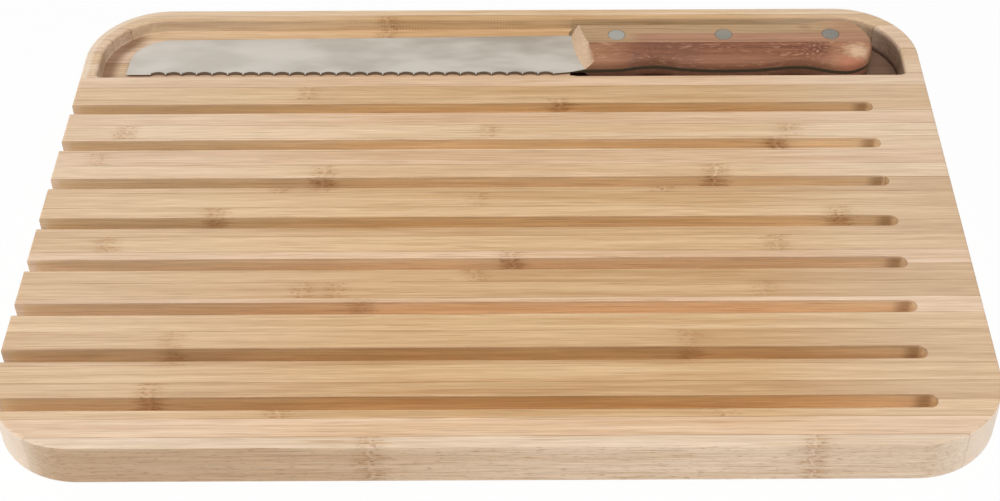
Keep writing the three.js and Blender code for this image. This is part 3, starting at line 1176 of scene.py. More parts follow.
@dataclass
class BreadBoard:
    """The board: one routed blank, sawn into the battens that it is glued from."""

    groups: BambooGroups
    sizes: BoardSizes = field(default_factory=BoardSizes)
    groove: GrooveSizes = field(default_factory=GrooveSizes)
    pocket: PocketSizes = field(default_factory=PocketSizes)
    first_seed: float = 1.0
    seed_step: float = 0.37

    def __post_init__(self) -> None:
        """Take the outer form and the pocket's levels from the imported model."""
        names = [f"board_batten_{i + 1:02d}" for i in range(len(BATTENS))]
        boxes = [node_box(name) for name in names]
        self.left = min(low.x for low, _ in boxes)
        self.right = max(high.x for _, high in boxes)
        self.front = min(low.y for low, _ in boxes)
        self.back = max(high.y for _, high in boxes)
        self.top = max(high.z for _, high in boxes)
        self.planes = {name: (low.y, high.y) for name, (low, high) in zip(names, boxes)}
        self.shelf = node_box("blade")[0].z
        scale = node_box("scale_lower")[0]
        self.bay_floor = scale.z - self.pocket.under_knife_gap
        self.bay_left = scale.x - self.pocket.handle_front_gap

    def spine_line(self) -> float:
        """Y of the knife's back."""
        return self.back - self.pocket.back_rim - self.pocket.spine_gap

    def groove_centres(self) -> list[float]:
        """The middles of the crumb grooves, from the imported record.

        Returns:
            Y of every groove's middle line.
        """
        openings = frame["record"]["physics"]["openings"]
        boxes = [o["box_m"] for o in openings if o["name"].startswith("crumb_groove")]
        return [(low[1] + high[1]) / 2 / MM for low, high in boxes]

    def blank(self) -> bpy.types.Mesh:
        """The board before it is routed, with all its outer edges rounded.

        Returns:
            The closed blank.
        """
        s = self.sizes

        def outline(inset: float) -> Outline:
            """The board's outline moved in.

            Args:
                inset: How far it is moved in.

            Returns:
                The outline.
            """
            return rounded_rectangle(
                self.left + inset, self.right - inset, self.front + inset, self.back - inset,
                s.corner_radius - inset, s.corner_steps,
            )

        rings = [
            ring(outline(across), below)
            for across, below in reversed(quarter_round(s.bottom_round, s.round_steps))
        ]
        rings += [
            ring(outline(across), self.top - below)
            for across, below in quarter_round(s.top_round, s.round_steps)
        ]
        return loft(rings)

    def cutter(self, outline: Callable[[float], Outline], floor: float,
               sizes: GrooveSizes | PocketSizes) -> bpy.types.Mesh:
        """The path of a router bit: a small fillet at the floor and a flare at the top.

        Args:
            outline: Gives the cutter's outline moved out by a distance.
            floor: Height of the floor.
            sizes: Holds the radius of the fillet and of the flare, and the flare's steps.

        Returns:
            The closed cutter.
        """
        fillet_steps = 3
        rings = [
            ring(outline(-across), floor + below)
            for across, below in reversed(quarter_round(sizes.floor_round, fillet_steps))
        ]
        rings += [
            ring(outline(across), self.top - below)
            for across, below in quarter_round(sizes.edge_round, sizes.round_steps)
        ]
        rings.append(ring(outline(sizes.edge_round), self.top + BEYOND))
        return loft(rings)

    def groove_cutter(self, centre: float) -> bpy.types.Mesh:
        """Cutter of one crumb groove, open at the left edge and round at the right.

        Args:
            centre: Y of the groove's middle line.

        Returns:
            The closed cutter.
        """
        g = self.groove
        end = self.right - g.tip_inset - g.width / 2
        start = self.left - BEYOND

        def outline(outset: float) -> Outline:
            """The groove's outline moved out.

            Args:
                outset: How far it is moved out.

            Returns:
                The outline.
            """
            half = g.width / 2 + outset
            tip = arc((end, centre), half, -QUARTER, QUARTER, g.end_steps)
            return [*tip, (start, centre + half), (start, centre - half)]

        return self.cutter(outline, self.top - g.depth, g)

    def pocket_lines(self) -> tuple[float, float, float]:
        """Y of the pocket's front and back wall, and the radius of its back corners."""
        back = self.back - self.pocket.back_rim
        return back - self.pocket.width, back, self.sizes.corner_radius - self.pocket.back_rim

    def shelf_cutter(self) -> bpy.types.Mesh:
        """Cutter of the shallow shelf under the blade.

        Returns:
            The closed cutter.
        """
        p = self.pocket
        front, back, corner = self.pocket_lines()
        middle = (self.bay_left + self.right) / 2

        def outline(outset: float) -> Outline:
            """The shelf's outline moved out. Its right end lies inside the bay.

            Args:
                outset: How far it is moved out.

            Returns:
                The outline.
            """
            near, far = p.front_radius + outset, corner + outset
            left = self.left + p.tip_rim - outset
            low, high = front - outset, back + outset
            return [
                (middle, low), (middle, high),
                *arc((left + far, high - far), far, QUARTER, 2 * QUARTER, p.corner_steps),
                *arc((left + near, low + near), near, 2 * QUARTER, 3 * QUARTER, p.corner_steps),
            ]

        return self.cutter(outline, self.shelf, p)

    def bay_cutter(self) -> bpy.types.Mesh:
        """Cutter of the deep bay under the handle.

        Returns:
            The closed cutter.
        """
        p = self.pocket
        front, back, corner = self.pocket_lines()

        def outline(outset: float) -> Outline:
            """The bay's outline moved out.

            Args:
                outset: How far it is moved out.

            Returns:
                The outline.
            """
            near, far = p.front_radius + outset, corner + p.bay_allowance + outset
            left, right = self.bay_left - outset, self.right - p.butt_rim + outset
            low, high = front - p.bay_allowance - outset, back + p.bay_allowance + outset
            return [
                *arc((right - near, low + near), near, -QUARTER, 0, p.corner_steps),
                *arc((right - far, high - far), far, 0, QUARTER, p.corner_steps),
                *arc((left + near, high - near), near, QUARTER, 2 * QUARTER, p.corner_steps),
                *arc((left + near, low + near), near, 2 * QUARTER, 3 * QUARTER, p.corner_steps),
            ]

        return self.cutter(outline, self.bay_floor, p)

    def marks_on(self, low: float, high: float) -> RouterMarks:
        """What the router has left on a batten, and the painted light on its walls.

        Args:
            low: Y of the batten's front.
            high: Y of its back.

        Returns:
            Its marks.
        """
        pocket_front, pocket_back, _ = self.pocket_lines()
        if high <= pocket_front:
            return RouterMarks(groove_end=self.right - self.groove.tip_inset)
        chatter = BACK_WALL_CHATTER if high > pocket_back else RouterMarks.chatter
        return RouterMarks(POCKET_WALL_PAINTED_LIGHT, chatter, shelf_front=pocket_front)

    def build(self) -> list[bpy.types.Object]:
        """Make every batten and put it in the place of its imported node.

        Returns:
            The battens.
        """
        grooves = joined(self.groove_cutter(centre) for centre in self.groove_centres())
        board = cut_away(self.blank(), [grooves, self.shelf_cutter(), self.bay_cutter()])
        form = BlankForm((self.right - self.left) / 2, (self.back - self.front) / 2,
                         self.sizes.corner_radius, self.top)
        battens = []
        for i, ((node, (front, back)), plan) in enumerate(zip(self.planes.items(), BATTENS)):
            # The outermost battens end at the blank's own edge, not at a glue line.
            low = front - OUTSIDE if front == self.front else front
            high = back + OUTSIDE if back == self.back else back
            finish = BambooFinish(
                f"bamboo_{i + 1:02d}", plan.tone, self.first_seed + self.seed_step * i, low, high,
                form, plan.knots, self.marks_on(low, high),
            )
            piece = make_piece(f"batten_{i + 1:02d}", slice_between(board, low, high),
                               finish.material(self.groups))
            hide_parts(node)
            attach(piece, "board")
            battens.append(piece)
            log.info("%s stands for %s", piece.name, node)
        return battens


# The handle's side from the belly's front corner round the butt to the spine, as shares of
# the handle's length and width
HANDLE_SIDE_SHARES: tuple[Point, ...] = (
    (0.041, 1.008), (0.1, 1.005), (0.16, 0.99), (0.21, 0.938), (0.26, 0.902), (0.31, 0.92),
    (0.37, 0.982), (0.465, 1.022), (0.54, 1.022), (0.615, 1.005), (0.68, 0.962), (0.735, 0.928),
    (0.785, 0.945), (0.83, 1.012), (0.87, 1.066), (0.915, 1.082), (0.955, 1.0), (0.984, 0.858),
    (1, 0.6), (0.997, 0.36), (0.983, 0.19), (0.955, 0), (0.912, -0.13), (0.858, -0.11),
    (0.8, -0.035), (0.74, 0),
)


@dataclass(frozen=True)
class BladeSizes:
    """Sizes of the blade, from the handle's front end."""

    length: float = 203.4
    heel_width: float = 29.2
    edge_taper: float = 0.9
    spine_taper: float = 2.5
    tip_radius: float = 17.5
    scallop_pitch: float = 7.07
    scallop_depth: float = 2.15
    scallop_land: float = 0.5
    first_scallop: float = 10.8
    plain_heel: float = 8.5
    heel_line: tuple[Point, ...] = ((-8.3, -28.5), (-1.3, -27.6))
    grind_width: float = 4.0
    bevel: float = 0.2
    lip_below_top: float = 0.16
    lip_to_flat: float = 0.42
    hollow_inset: float = 0.1
    hollow_lean: float = 0.15
    land_height: float = 0.8
    hollow_drop: float = 0.5
    scallop_steps: int = 14
    tip_steps: int = 24


@dataclass(frozen=True)
class HandleSizes:
    """Sizes of the handle's two scales."""

    length: float = 137.6
    width: float = 25.65
    flat_width: float = 15.2
    edge_inset: float = 1.9
    front_sweep: float = 5.7
    tang_shows_from: float = 4
    bevel_run: float = 3.2
    bevel_slant: float = 0.16
    bevel_reach: float = 24.0
    round_power: float = 4.0
    level_power: float = 1.7
    levels: int = 18
    side_steps: int = 160
    front_steps: int = 14


@dataclass(frozen=True)
class RivetSizes:
    """Sizes of a rivet and of the stepped hole that it sits in.

    The crown is given by shares of the head's radius and of the dome's height, the rim by
    how far its steps lie in from the head's side and below its face.
    """

    count: int = 3
    front_inset: float = 20.4
    butt_inset: float = 18.7
    depth: float = 9.4
    head_radius: float = 3.9
    head_length: float = 3.0
    shank_radius: float = 2.5
    clearance: float = 0.12
    dome: float = 0.12
    crown: tuple[Point, ...] = ((0.35, 1.0), (0.75, 0.55))
    rim: tuple[Point, ...] = ((0.25, 0.0), (0.06, 0.07), (0.0, 0.25))
    steps: int = 48


@dataclass(frozen=True)
class SteelFinish(Finish):
    """Satin steel brushed along the blade, a little cloudy, with a painted reflection near the tip
    and darker, less metallic painted shade on steep faces.
    """

    colour: Colour
    cloud: Colour
    roughness: float
    brushed: float
    reflection_stretch: tuple[float, float] | None = None
    edge_shade_from: float | None = None
    edge_shade_run: float = 6
    edge_shade: Colour = srgb(86, 75, 57)
    painted_reflection: Colour = srgb(218, 211, 202)
    relief: Relief = Relief(0.12, 0.00003)
    streaks: float = 0.14

    def material(self) -> bpy.types.Material:
        """The steel's material.

        Returns:
            The material.
        """
        w, shader = self.begin()
        place, facing = w.coordinates()
        x = w.split(place)[0]
        cloud = w.noise(w.scaled(place, (35, 90, 90)), 2.0, 0.5)
        line = w.noise(w.scaled(place, (60, 2600, 2600)), 2.0, 0.6)
        colour = w.blend(w.spread(cloud, 0.3, 0.7), self.cloud, self.colour)
        metallic: Value = 1.0
        # Painted reflection: lighter towards the tip
        if self.reflection_stretch:
            tip, heel = self.reflection_stretch
            colour = w.blend(w.fade(x, tip * MM, heel * MM, 0.5), colour, self.painted_reflection)
        # Painted shade on the steep faces: strong on the blade's spine and scallop hollows, full
        # on the tang's edge
        if self.edge_shade_from:
            edge = w.fade(w.unsigned(w.split(facing)[2]), 0.8, 0.97)
            start = (self.edge_shade_from - self.edge_shade_run) * MM
            tang = w.spread(x, start, self.edge_shade_from * MM, 0.85, 1.0)
            edge_shade = w.product(edge, tang)
            colour = w.blend(edge_shade, colour, self.edge_shade)
            metallic = w.rest(w.product(edge_shade, 0.85))
        w.feed(shader.inputs["Metallic"], metallic)
        shade = w.spread(line, 0.2, 0.8, 1 - self.brushed, 1 + self.brushed)
        colour = w.multiplied(colour, w.grey(shade))
        rough = w.total(w.product(line, self.streaks), self.roughness - self.streaks / 2)
        return self.complete(w, shader, colour, rough, line, self.relief)


@dataclass(frozen=True)
class HandleShades:
    """Colours of the handle, named for where they lie."""

    upper_light: Colour = srgb(194, 160, 122)
    upper_dark: Colour = srgb(168, 132, 96)
    flat_light: Colour = srgb(186, 140, 110)
    flat_dark: Colour = srgb(160, 116, 88)
    # The side is redder than the flat, and darker as painted shade
    shaded_side_light: Colour = srgb(150, 97, 69)
    shaded_side_dark: Colour = srgb(114, 70, 49)
    thread: Colour = srgb(118, 74, 52)
    side_front: Colour = srgb(176, 130, 96)
    side_butt: Colour = srgb(180, 132, 98)
    cloud: Colour = srgb(98, 68, 56)
    grey_patch: Colour = srgb(98, 74, 68)
    bright_fleck: Colour = srgb(204, 156, 126)
    deep_fleck: Colour = srgb(92, 54, 42)
    knot: Colour = srgb(106, 64, 46)
    bright_pore: Colour = srgb(198, 152, 122)
    deep_pore: Colour = srgb(84, 46, 34)
    belly: Colour = srgb(184, 134, 106)
    red_butt: Colour = srgb(190, 118, 92)
    painted_highlight: Colour = srgb(236, 202, 168)
    tang_shadow: Colour = srgb(88, 62, 52)
    end_light: Colour = srgb(226, 196, 166)
    end_dark: Colour = srgb(206, 174, 142)


@dataclass(frozen=True)
class HandleFinish(Finish):
    """Darker bamboo of the handle: two layers on the flat and a redder, flecked side, with painted
    shade and a painted highlight.
    """

    seed: float
    front: float
    spine: float
    tang: float
    layer_line: float = 8.4
    side_line: float = 15.2
    cloud: float = 45.0
    grey_patch: float = 38.5
    knot: Point = (111.0, 19.5)
    faint_knot: Point = (36.0, 19.0)
    flat_knot: Point = (107.5, 4.0)
    painted_highlight: Point = (129.6, 20.5)
    shades: HandleShades = HandleShades()
    relief: Relief = Relief(0.3, 0.0001)
    specular: float = 0.4

    def material(self, groups: BambooGroups) -> bpy.types.Material:
        """The scales' material.

        Args:
            groups: The node groups that all bamboo shares.

        Returns:
            The material.
        """
        w, shader = self.begin()
        paint = HandlePaint(self, w, groups)
        shader.inputs["Specular IOR Level"].default_value = self.specular
        return self.complete(w, shader, paint.done(), paint.tint.outputs["Roughness"],
                             paint.tint.outputs["Relief"], self.relief)


class HandlePaint(Layers):
    """Paints the handle's scales, one step after the other.

    Places along the handle count from its front end, places down it from its back, in
    millimetres.
    """

    def __init__(self, finish: HandleFinish, w: Wiring, groups: BambooGroups) -> None:
        """Lay out the masks that the steps share, and the grain that they start from.

        Args:
            finish: The places and colours of the finish.
            w: Wiring of the material's tree.
            groups: The node groups that all bamboo shares.
        """
        super().__init__(w)
        self.finish, self.shades = finish, finish.shades
        self.place, facing = w.coordinates()
        self.millimetres = w.scaled(self.place, TO_MM)
        self.parts = w.split(self.millimetres)
        self.along = w.less(self.parts[0], finish.front)
        self.down = w.less(finish.spine, self.parts[1])
        self.ahead = w.split(facing)[0]
        self.side = w.spread(self.down, finish.side_line - 0.15, finish.side_line + 0.1)
        self.tint = self._ground(groups)
        self.colour = self.tint.outputs["Colour"]

    def steps(self) -> Sequence[Callable[[], None]]:
        """The steps, in their order."""
        return (self._clouds, self._flecks, self._knots, self._belly_and_butt, self._lower_scale_shadow,
                self._front_end)

    def _noise(self, factors: Sequence[float], detail: float, roughness: float = 0.5) -> Socket:
        """Noise in cells along X, Y and Z."""
        return self.w.noise(self.w.scaled(self.millimetres, factors), detail, roughness)

    def _spot(self, centre: Point, reach: Point, core: float) -> Socket:
        """A mask of an oval spot with a ragged edge.

        Args:
            centre: Its centre, along and down the handle.
            reach: Its half length and half width.
            core: Share of it that is full.

        Returns:
            One in its core, falling to zero at its edge.
        """
        w = self.w
        off = [
            w.maths("DIVIDE", w.less(part, middle), half)
            for part, middle, half in zip((self.along, self.down), centre, reach)
        ]
        rag = w.product(w.less(self._noise((0.3, 0.6, 0.6), 1.0), 0.5), 0.8)
        return w.fade(w.total(w.root_of_squares(*off), rag), core, 1.15)

    def _on_side(self, colour: Colour, *shares: Value) -> None:
        """Lay a colour over the handle's side, by the shares."""
        self.cover(self.w.product(self.side, *shares), colour)

    def _ground(self, groups: BambooGroups) -> bpy.types.Node:
        """The grain: two layers on the flat, a redder side darkened further as painted shade, and
        one small knot.

        Args:
            groups: The node groups that all bamboo shares.

        Returns:
            The placed tint group.
        """
        w, finish, shades = self.w, self.finish, self.shades
        grain = w.group(groups.grain, Place=self.place, Seed=finish.seed)
        layer = w.fade(self.down, finish.layer_line - 0.12, finish.layer_line + 0.12)
        honey_front = w.fade(self.along, 25.0, 33.0)
        towards_butt = w.spread(self.along, 112.0, 126.0, 1.0, 0.3)
        upper = w.product(w.higher(layer, honey_front), towards_butt)
        light = w.blend(upper, shades.flat_light, shades.upper_light)
        dark = w.blend(upper, shades.flat_dark, shades.upper_dark)
        knot = w.product(self._spot(finish.flat_knot, (4.0, 3.0), 0.3), w.rest(self.side), 0.7)
        return w.group(
            groups.tint, **outputs_of(grain, GRAIN_MASKS), Dense=knot, Squiggle=0.0, Speck=0.0,
            Line=w.product(layer, w.rest(layer), w.rest(honey_front), 3.0),
            Light=w.blend(self.side, light, shades.shaded_side_light),
            Dark=w.blend(self.side, dark, shades.shaded_side_dark),
            Thread_Colour=shades.thread, Dry=0.0, Shift=0.0,
        )

    def _clouds(self) -> None:
        """The side's slow changes: paler ends, a brown cloud and a slanted grey patch."""
        w, finish, shades = self.w, self.finish, self.shades
        self._on_side(shades.side_front, w.fade(self.along, 14.0, 30.0, 0.5))
        low = w.spread(self.down, 16.0, 24.0, 0.55, 0.8)
        away = w.unsigned(w.less(self.along, finish.cloud))
        drift = w.noise(w.stretched(self.parts, (0.06, 0.25, 1)), 1.0)
        self._on_side(shades.cloud, low, w.fade(away, 9.0, 19.0, 0.62),
                      w.spread(drift, 0.3, 0.6, 0.6, 1.0))
        slant = w.total(self.along, w.product(self.down, 0.45))
        off = w.unsigned(w.less(slant, finish.grey_patch))
        self._on_side(shades.grey_patch, w.fade(off, 0.5, 3.2, 0.45), w.spread(self.down, 18.5, 22.0))
        self._on_side(shades.side_butt, w.spread(self.along, 113.0, 122.0, 0.0, 0.6))

    def _flecks(self) -> None:
        """Bright and deep flecks of fibre on the side, in patches."""
        w = self.w
        patchy = w.spread(self._noise((0.045, 0.16, 0.16), 1.0), 0.35, 0.62, 0.25, 1.0)
        fleck = self._noise((0.24, 1.5, 1.5), 1.5, 0.6)
        bright = w.product(w.spread(fleck, 0.56, 0.66, 0.0, 0.6), self.side, patchy)
        self.cover(bright, self.shades.bright_fleck)
        deep = w.product(w.fade(fleck, 0.34, 0.44, 0.55), self.side, patchy)
        self.cover(deep, self.shades.deep_fleck)

    def _knots(self) -> None:
        """A pored knot near the butt and a faint one near the front."""
        w = self.w
        strong = self._spot(self.finish.knot, (8.0, 6.5), 0.35)
        faint = w.product(self._spot(self.finish.faint_knot, (7.0, 6.0), 0.3), 0.25)
        knotty = w.product(w.higher(strong, faint), self.side)
        pore = self._noise((0.9, 1.3, 1.3), 2.0)
        self.cover(w.product(knotty, 0.55), self.shades.knot)
        bright = w.product(knotty, w.spread(pore, 0.56, 0.66, 0.0, 0.6))
        self.cover(bright, self.shades.bright_pore)
        self.cover(w.product(knotty, w.fade(pore, 0.34, 0.44, 0.6)), self.shades.deep_pore)

    def _belly_and_butt(self) -> None:
        """The paler belly, the red butt and a painted highlight on it."""
        w = self.w
        self._on_side(self.shades.belly, w.spread(self.down, 20.5, 25.0, 0.0, 0.35))
        red_butt = w.product(w.spread(self.along, 118.0, 126.0), w.spread(self.down, 22.5, 25.5),
                             self.side, 0.6)
        self.cover(red_butt, self.shades.red_butt)
        painted_highlight = w.product(self._spot(self.finish.painted_highlight, (6.8, 5.0), 0.1), self.side, 0.65)
        self.cover(painted_highlight, self.shades.painted_highlight)

    def _lower_scale_shadow(self) -> None:
        """Painted shadow on the scale under the tang."""
        w, tang = self.w, self.finish.tang
        below = w.fade(self.parts[2], tang - 0.2, tang + 0.2)
        share = w.product(below, w.spread(self.along, 20.0, 30.0, 0.75, 0.4))
        self.cover(share, self.shades.tang_shadow)

    def _front_end(self) -> None:
        """End grain on the sloped front end, made paler as painted light."""
        w = self.w
        front_end = w.product(w.fade(self.ahead, -0.75, -0.4), w.fade(self.along, 12.0, 18.0))
        pore = w.spread(self._noise((1.6, 1.6, 1.6), 2.0), 0.35, 0.65)
        self.cover(front_end, w.blend(pore, self.shades.end_dark, self.shades.end_light))


@dataclass
class BreadKnife:
    """The knife: a serrated blade with a full tang, two scales and three rivets.

    Its shapes share one frame: X from the handle's front end towards the butt, Y from the
    spine (zero) down to the edge (negative), Z from the blade's lower face.
    """

    groups: BambooGroups
    spine: float
    blade: BladeSizes = field(default_factory=BladeSizes)
    handle: HandleSizes = field(default_factory=HandleSizes)
    rivet: RivetSizes = field(default_factory=RivetSizes)

    def __post_init__(self) -> None:
        """Take the knife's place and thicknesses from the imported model."""
        low, high = node_box("blade")
        self.thickness = high.z - low.z
        self.place = Vector((node_box("scale_upper")[0].x, self.spine, low.z))
        self.scale_height = node_box("scale_upper")[1].z - high.z

    def edge_line(self, x: float) -> float:
        """Y of the straight line along the points of the teeth."""
        return -self.blade.heel_width - self.blade.edge_taper * x / self.blade.length

    def side(self) -> Outline:
        """The handle's side from the belly's front corner round the butt to the spine.

        Returns:
            The points of the side.
        """
        h = self.handle
        points = [(along * h.length, -down * h.width) for along, down in HANDLE_SIDE_SHARES]
        return smooth_line(points, h.side_steps)

    def sweep(self, y: float) -> float:
        """How far the handle's front end lies back at a place down it."""
        return self.handle.front_sweep * (y / self.handle.width) ** 2

    def front_end(self) -> Outline:
        """The handle's front end, swept back towards the belly.

        Returns:
            The points of the front end, from the spine down.
        """
        h = self.handle
        lowest = -HANDLE_SIDE_SHARES[0][1] * h.width
        heights = [lowest * i / h.front_steps for i in range(h.front_steps)]
        return [(self.sweep(y), y) for y in heights]

    def teeth(self) -> tuple[Outline, list[float]]:
        """The cutting edge from the tip to the heel.

        Returns:
            The points of the edge, and how far each lies above the teeth's line.
        """
        b = self.blade
        half = (b.scallop_pitch - b.scallop_land) / 2
        count = int((b.length - b.first_scallop - b.plain_heel) / b.scallop_pitch)
        points = [(-b.length, self.edge_line(-b.length))]
        rises = [0.0]
        for i in range(count):
            centre = -b.length + b.first_scallop + b.scallop_pitch * (i + 0.5)
            for k in range(b.scallop_steps + 1):
                across = math.cos(math.pi * (1 - k / b.scallop_steps))
                rise = b.scallop_depth * math.sqrt(max(0.0, 1 - across * across))
                x = centre + half * across
                points.append((x, self.edge_line(x) + rise))
                rises.append(rise)
        points += b.heel_line
        rises += [0.0] * len(b.heel_line)
        return points, rises

    def blade_mesh(self) -> bpy.types.Mesh:
        """The blade and its tang, with hollow scallops under a ground band.

        Returns:
            The closed mesh.
        """
        b, top = self.blade, self.thickness
        edge, rises = self.teeth()
        tip = arc((-b.length + b.tip_radius, -b.spine_taper - b.tip_radius), b.tip_radius,
                  QUARTER, 2 * QUARTER, b.tip_steps)
        outline = [*edge, *self.side(), (0.0, 0.0), *tip]
        columns = []
        for (x, y), rise in zip(outline, rises):
            hollow = y + b.hollow_inset - b.hollow_lean * rise
            height = top * (b.land_height - b.hollow_drop * (rise / b.scallop_depth))
            columns.append((
                (x, self.edge_line(x) + b.grind_width, 0), (x, hollow, height),
                (x, y, top - b.lip_below_top), (x, y + b.lip_to_flat, top),
            ))
        inner = moved_in(outline, b.bevel)
        for (x, y), within in zip(outline[len(edge):], inner[len(edge):]):
            columns.append(
                ((*within, 0), (x, y, b.bevel), (x, y, top - b.bevel), (*within, top))
            )
        return loft([[Vector(point) for point in level] for level in zip(*columns)])

    def scale_mesh(self) -> bpy.types.Mesh:
        """The upper scale on the blade's lower face: flat top, rounded side, sloped front.

        Returns:
            The closed mesh.
        """
        h = self.handle
        outline = [*self.front_end(), *self.side()]
        lowest = outline[h.front_steps][1]
        flat = []
        for i, (x, y) in enumerate(moved_in(outline, h.edge_inset)):
            if i < h.front_steps:
                x = outline[i][0]
                y = -h.edge_inset + (lowest + h.edge_inset) * outline[i][1] / lowest
            flat.append((x, max(y, -h.flat_width)))
        rings = []
        for level in range(h.levels + 1):
            share = 1 - (1 - level / h.levels) ** h.level_power
            rounded = share ** h.round_power
            points = []
            for (x, y), (flat_x, flat_y) in zip(outline, flat):
                near_x = x + (flat_x - x) * rounded
                near_y = y + (flat_y - y) * rounded
                near = max(0.0, 1 - max(near_x - self.sweep(y), 0.0) / h.bevel_reach)
                set_back = (h.bevel_run - h.bevel_slant * near_y) * near ** 2
                points.append((near_x + set_back * share, near_y))
            rings.append(ring(points, share * self.scale_height))
        return loft(rings)

    def rivet_centres(self) -> list[Point]:
        """Centres of the rivets along the handle.

        Returns:
            The centres, from the front end to the butt.
        """
        r = self.rivet
        pitch = (self.handle.length - r.front_inset - r.butt_inset) / (r.count - 1)
        return [(r.front_inset + i * pitch, -r.depth) for i in range(r.count)]

    def rivet_mesh(self, clearance: float) -> bpy.types.Mesh:
        """A through rivet with two heads, or with a clearance the hole that it fills.

        Args:
            clearance: Gap all round. Zero gives the rivet itself, with domed heads.

        Returns:
            The closed mesh.
        """
        r = self.rivet
        low, high = -self.scale_height, self.thickness + self.scale_height
        head, shank = r.head_radius + clearance, r.shank_radius + clearance
        if clearance:
            crown = [(head, high + BEYOND)]
        else:
            crown = [(head * across, high + r.dome * rise) for across, rise in r.crown]
            crown += [(head - inset, high - below) for inset, below in r.rim]
        half = [*crown, (head, high - r.head_length), (shank, high - r.head_length)]
        middle = (low + high) / 2
        profile = [*half, *[(radius, 2 * middle - z) for radius, z in reversed(half)]]
        return loft([
            ring(arc((0, 0), radius, 0, 4 * QUARTER, r.steps)[:-1], z)
            for radius, z in reversed(profile)
        ])

    def build(self) -> list[bpy.types.Object]:
        """Make the knife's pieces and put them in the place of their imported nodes.

        Returns:
            The pieces.
        """
        front = self.place.x
        steel = SteelFinish(
            "blade_satin", srgb(204, 196, 185), srgb(174, 165, 152), 0.36, 0.02,
            reflection_stretch=(front - self.blade.length, front),
            edge_shade_from=front + self.handle.tang_shows_from,
        )
        heads = [
            SteelFinish("rivet_bright", srgb(175, 172, 163), srgb(160, 156, 147), 0.45, 0.04),
            SteelFinish("rivet_grey", srgb(156, 151, 140), srgb(142, 137, 127), 0.45, 0.04),
            SteelFinish("rivet_dark", srgb(148, 142, 134), srgb(134, 130, 122), 0.45, 0.04),
        ]
        wood = HandleFinish("handle_bamboo", 21.4, front, self.spine,
                            self.place.z + self.thickness / 2).material(self.groups)
        upper = moved(self.scale_mesh(), 0, 0, self.thickness)
        lower = self.scale_mesh()
        lower.transform(Matrix.Scale(-1, 4, (0, 0, 1)))
        lower.flip_normals()
        holes = joined(
            moved(self.rivet_mesh(self.rivet.clearance), x, y, 0) for x, y in self.rivet_centres()
        )
        plans = [
            ("serrated_blade", "blade", self.blade_mesh(), steel.material(), "blade_steel"),
            ("handle_upper", "scale_upper", cut_away(upper, [holes]), wood, "handle_wood"),
            ("handle_lower", "scale_lower", cut_away(lower, [holes.copy()]), wood, "handle_wood"),
        ]
        for i, ((x, y), head) in enumerate(zip(self.rivet_centres(), heads)):
            mesh, metal = moved(self.rivet_mesh(0), x, y, 0), head.material()
            plans.append((f"rivet_head_{i + 1}", f"rivet_{i + 1}", mesh, metal, "rivet_metal"))
        pieces = []
        for name, node, mesh, material, slot in plans:
            piece = make_piece(name, moved(mesh, *self.place), material, crease=28.0)
            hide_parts(node)
            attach(piece, "knife")
            pieces.append(piece)
            log.info("%s stands for %s", piece.name, node)
        return pieces


@dataclass(frozen=True)
class PhotoCamera:
    """The camera where the photograph was taken, in metres, degrees and sensor millimetres."""

    place: tuple[float, float, float] = (0.013926, -0.553944, 0.516699)
    turn: tuple[float, float, float] = (46.2763, 0.1195, -0.2402)
    lens: float = 64.27
    sensor: float = 36.0
    shift: Point = (-0.03637, 0.00597)
    sees: Point = (0.05, 20.0)

    def build(self) -> bpy.types.Object:
        """Make it the scene's camera.

        Returns:
            The camera.
        """
        data = bpy.data.cameras.new("photo_camera")
        data.lens, data.sensor_width = self.lens, self.sensor
        data.shift_x, data.shift_y = self.shift
        data.clip_start, data.clip_end = self.sees
        camera = placed("photo_camera", data)
        camera.location = self.place
        camera.rotation_euler = [math.radians(angle) for angle in self.turn]
        bpy.context.scene.camera = camera
        log.info("camera at %s", self.place)
        return camera


@dataclass(frozen=True)
class SoftLamp:
    """A rectangular soft lamp that faces the board. Steel doesn't mirror it."""

    name: str
    place: tuple[float, float, float]
    aim: tuple[float, float, float]
    size: Point
    power: float

    def build(self) -> bpy.types.Object:
        """Put the lamp in the scene.

        Returns:
            The lamp.
        """
        data = bpy.data.lights.new(self.name, "AREA")
        data.shape = "RECTANGLE"
        data.size, data.size_y = self.size
        data.energy = self.power
        lamp = placed(self.name, data)
        lamp.location = self.place
        towards = Vector(self.aim) - Vector(self.place)
        lamp.rotation_euler = towards.to_track_quat("-Z", "Y").to_euler()
        lamp.visible_glossy = False
        return lamp


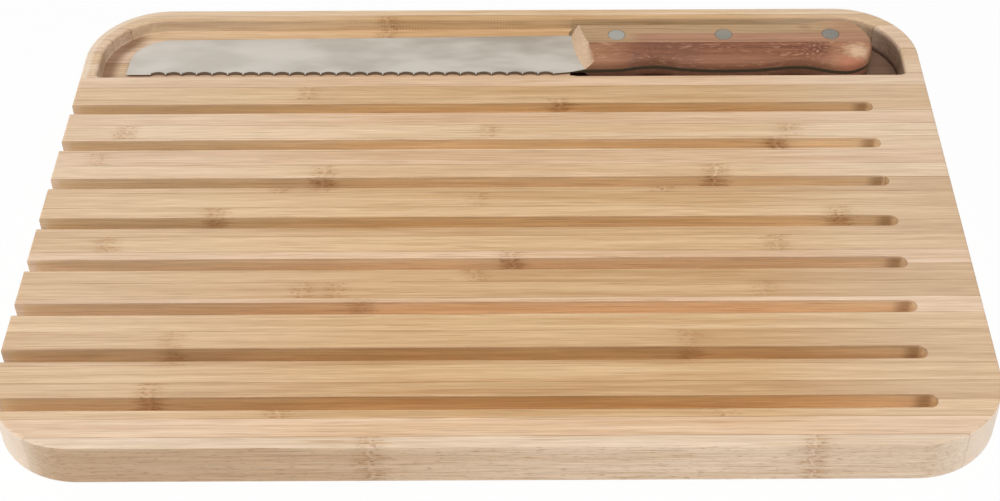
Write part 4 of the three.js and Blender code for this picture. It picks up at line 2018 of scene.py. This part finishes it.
@dataclass(frozen=True)
class Studio:
    """White floor, soft lamps and an even surround."""

    ambient: float = 0.3
    floor_size: float = 6.0
    floor_gap: float = 0.0001
    floor_grey: Colour = (0.9, 0.9, 0.9, 1)
    floor_white: float = 0.92
    lamps: tuple[SoftLamp, ...] = (
        SoftLamp("high_lamp", (0.1, -0.85, 1.45), (0, 0, 0), (1.2, 0.6), 19.4),
        SoftLamp("left_lamp", (-1.25, 0.15, 0.5), (-0.1, 0, 0), (0.6, 1.0), 5.5),
        SoftLamp("right_lamp", (1.25, 0.1, 0.6), (0, 0, 0), (0.6, 1.0), 1.5),
    )

    def build(self) -> None:
        """Make the surround, the floor and the lamps."""
        scene = bpy.context.scene
        scene.view_settings.view_transform = "Standard"
        self._surround(scene)
        self._floor()
        for lamp in self.lamps:
            lamp.build()
        log.info("studio with %d lamps", len(self.lamps))

    def _seen(self, w: Wiring) -> Socket:
        """One where the camera, a gloss or a clear surface looks, zero for soft light.

        Args:
            w: Wiring of the tree that it goes into.

        Returns:
            The share.
        """
        path = w.add("ShaderNodeLightPath").outputs
        seen = w.higher(path["Is Camera Ray"], path["Is Glossy Ray"])
        return w.higher(seen, path["Is Transmission Ray"])

    def _surround(self, scene: bpy.types.Scene) -> None:
        """Even light from all round, white where it is seen.

        Args:
            scene: The scene that it belongs to.
        """
        world = bpy.data.worlds.new("surround")
        w = new_tree(world)
        background = w.add("ShaderNodeBackground")
        background.inputs["Color"].default_value = WHITE
        strength = w.total(w.product(self._seen(w), 1 - self.ambient), self.ambient)
        w.feed(background.inputs["Strength"], strength)
        w.feed(w.add("ShaderNodeOutputWorld").inputs["Surface"], background.outputs[0])
        scene.world = world

    def _floor(self) -> None:
        """A white floor that keeps the board's shadow, faintly."""
        shape = bmesh.new()
        bmesh.ops.create_grid(shape, x_segments=8, y_segments=8, size=self.floor_size / 2)
        mesh = mesh_from(shape)
        floor = placed("floor", mesh)
        floor.location = (0, 0, -self.floor_gap)
        material = bpy.data.materials.new("floor_white")
        w = new_tree(material)
        matt = w.add("ShaderNodeBsdfDiffuse")
        matt.inputs["Color"].default_value = self.floor_grey
        glow = w.add("ShaderNodeEmission")
        glow.inputs["Strength"].default_value = 1.0
        share = w.product(self._seen(w), self.floor_white)
        mixed = w.fed(w.add("ShaderNodeMixShader"), share, matt.outputs[0], glow.outputs[0])
        w.feed(w.add("ShaderNodeOutputMaterial").inputs["Surface"], mixed.outputs[0])
        mesh.materials.append(material)


def main() -> None:
    """Build the camera, the board, the knife and the studio."""
    logging.basicConfig(level=logging.INFO, format="%(name)s: %(message)s")
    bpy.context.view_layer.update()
    PhotoCamera().build()
    groups = BambooGroups()
    board = BreadBoard(groups)
    board.build()
    BreadKnife(groups, board.spine_line()).build()
    Studio().build()
    bpy.context.view_layer.update()


if __name__ == "__main__":
    main()
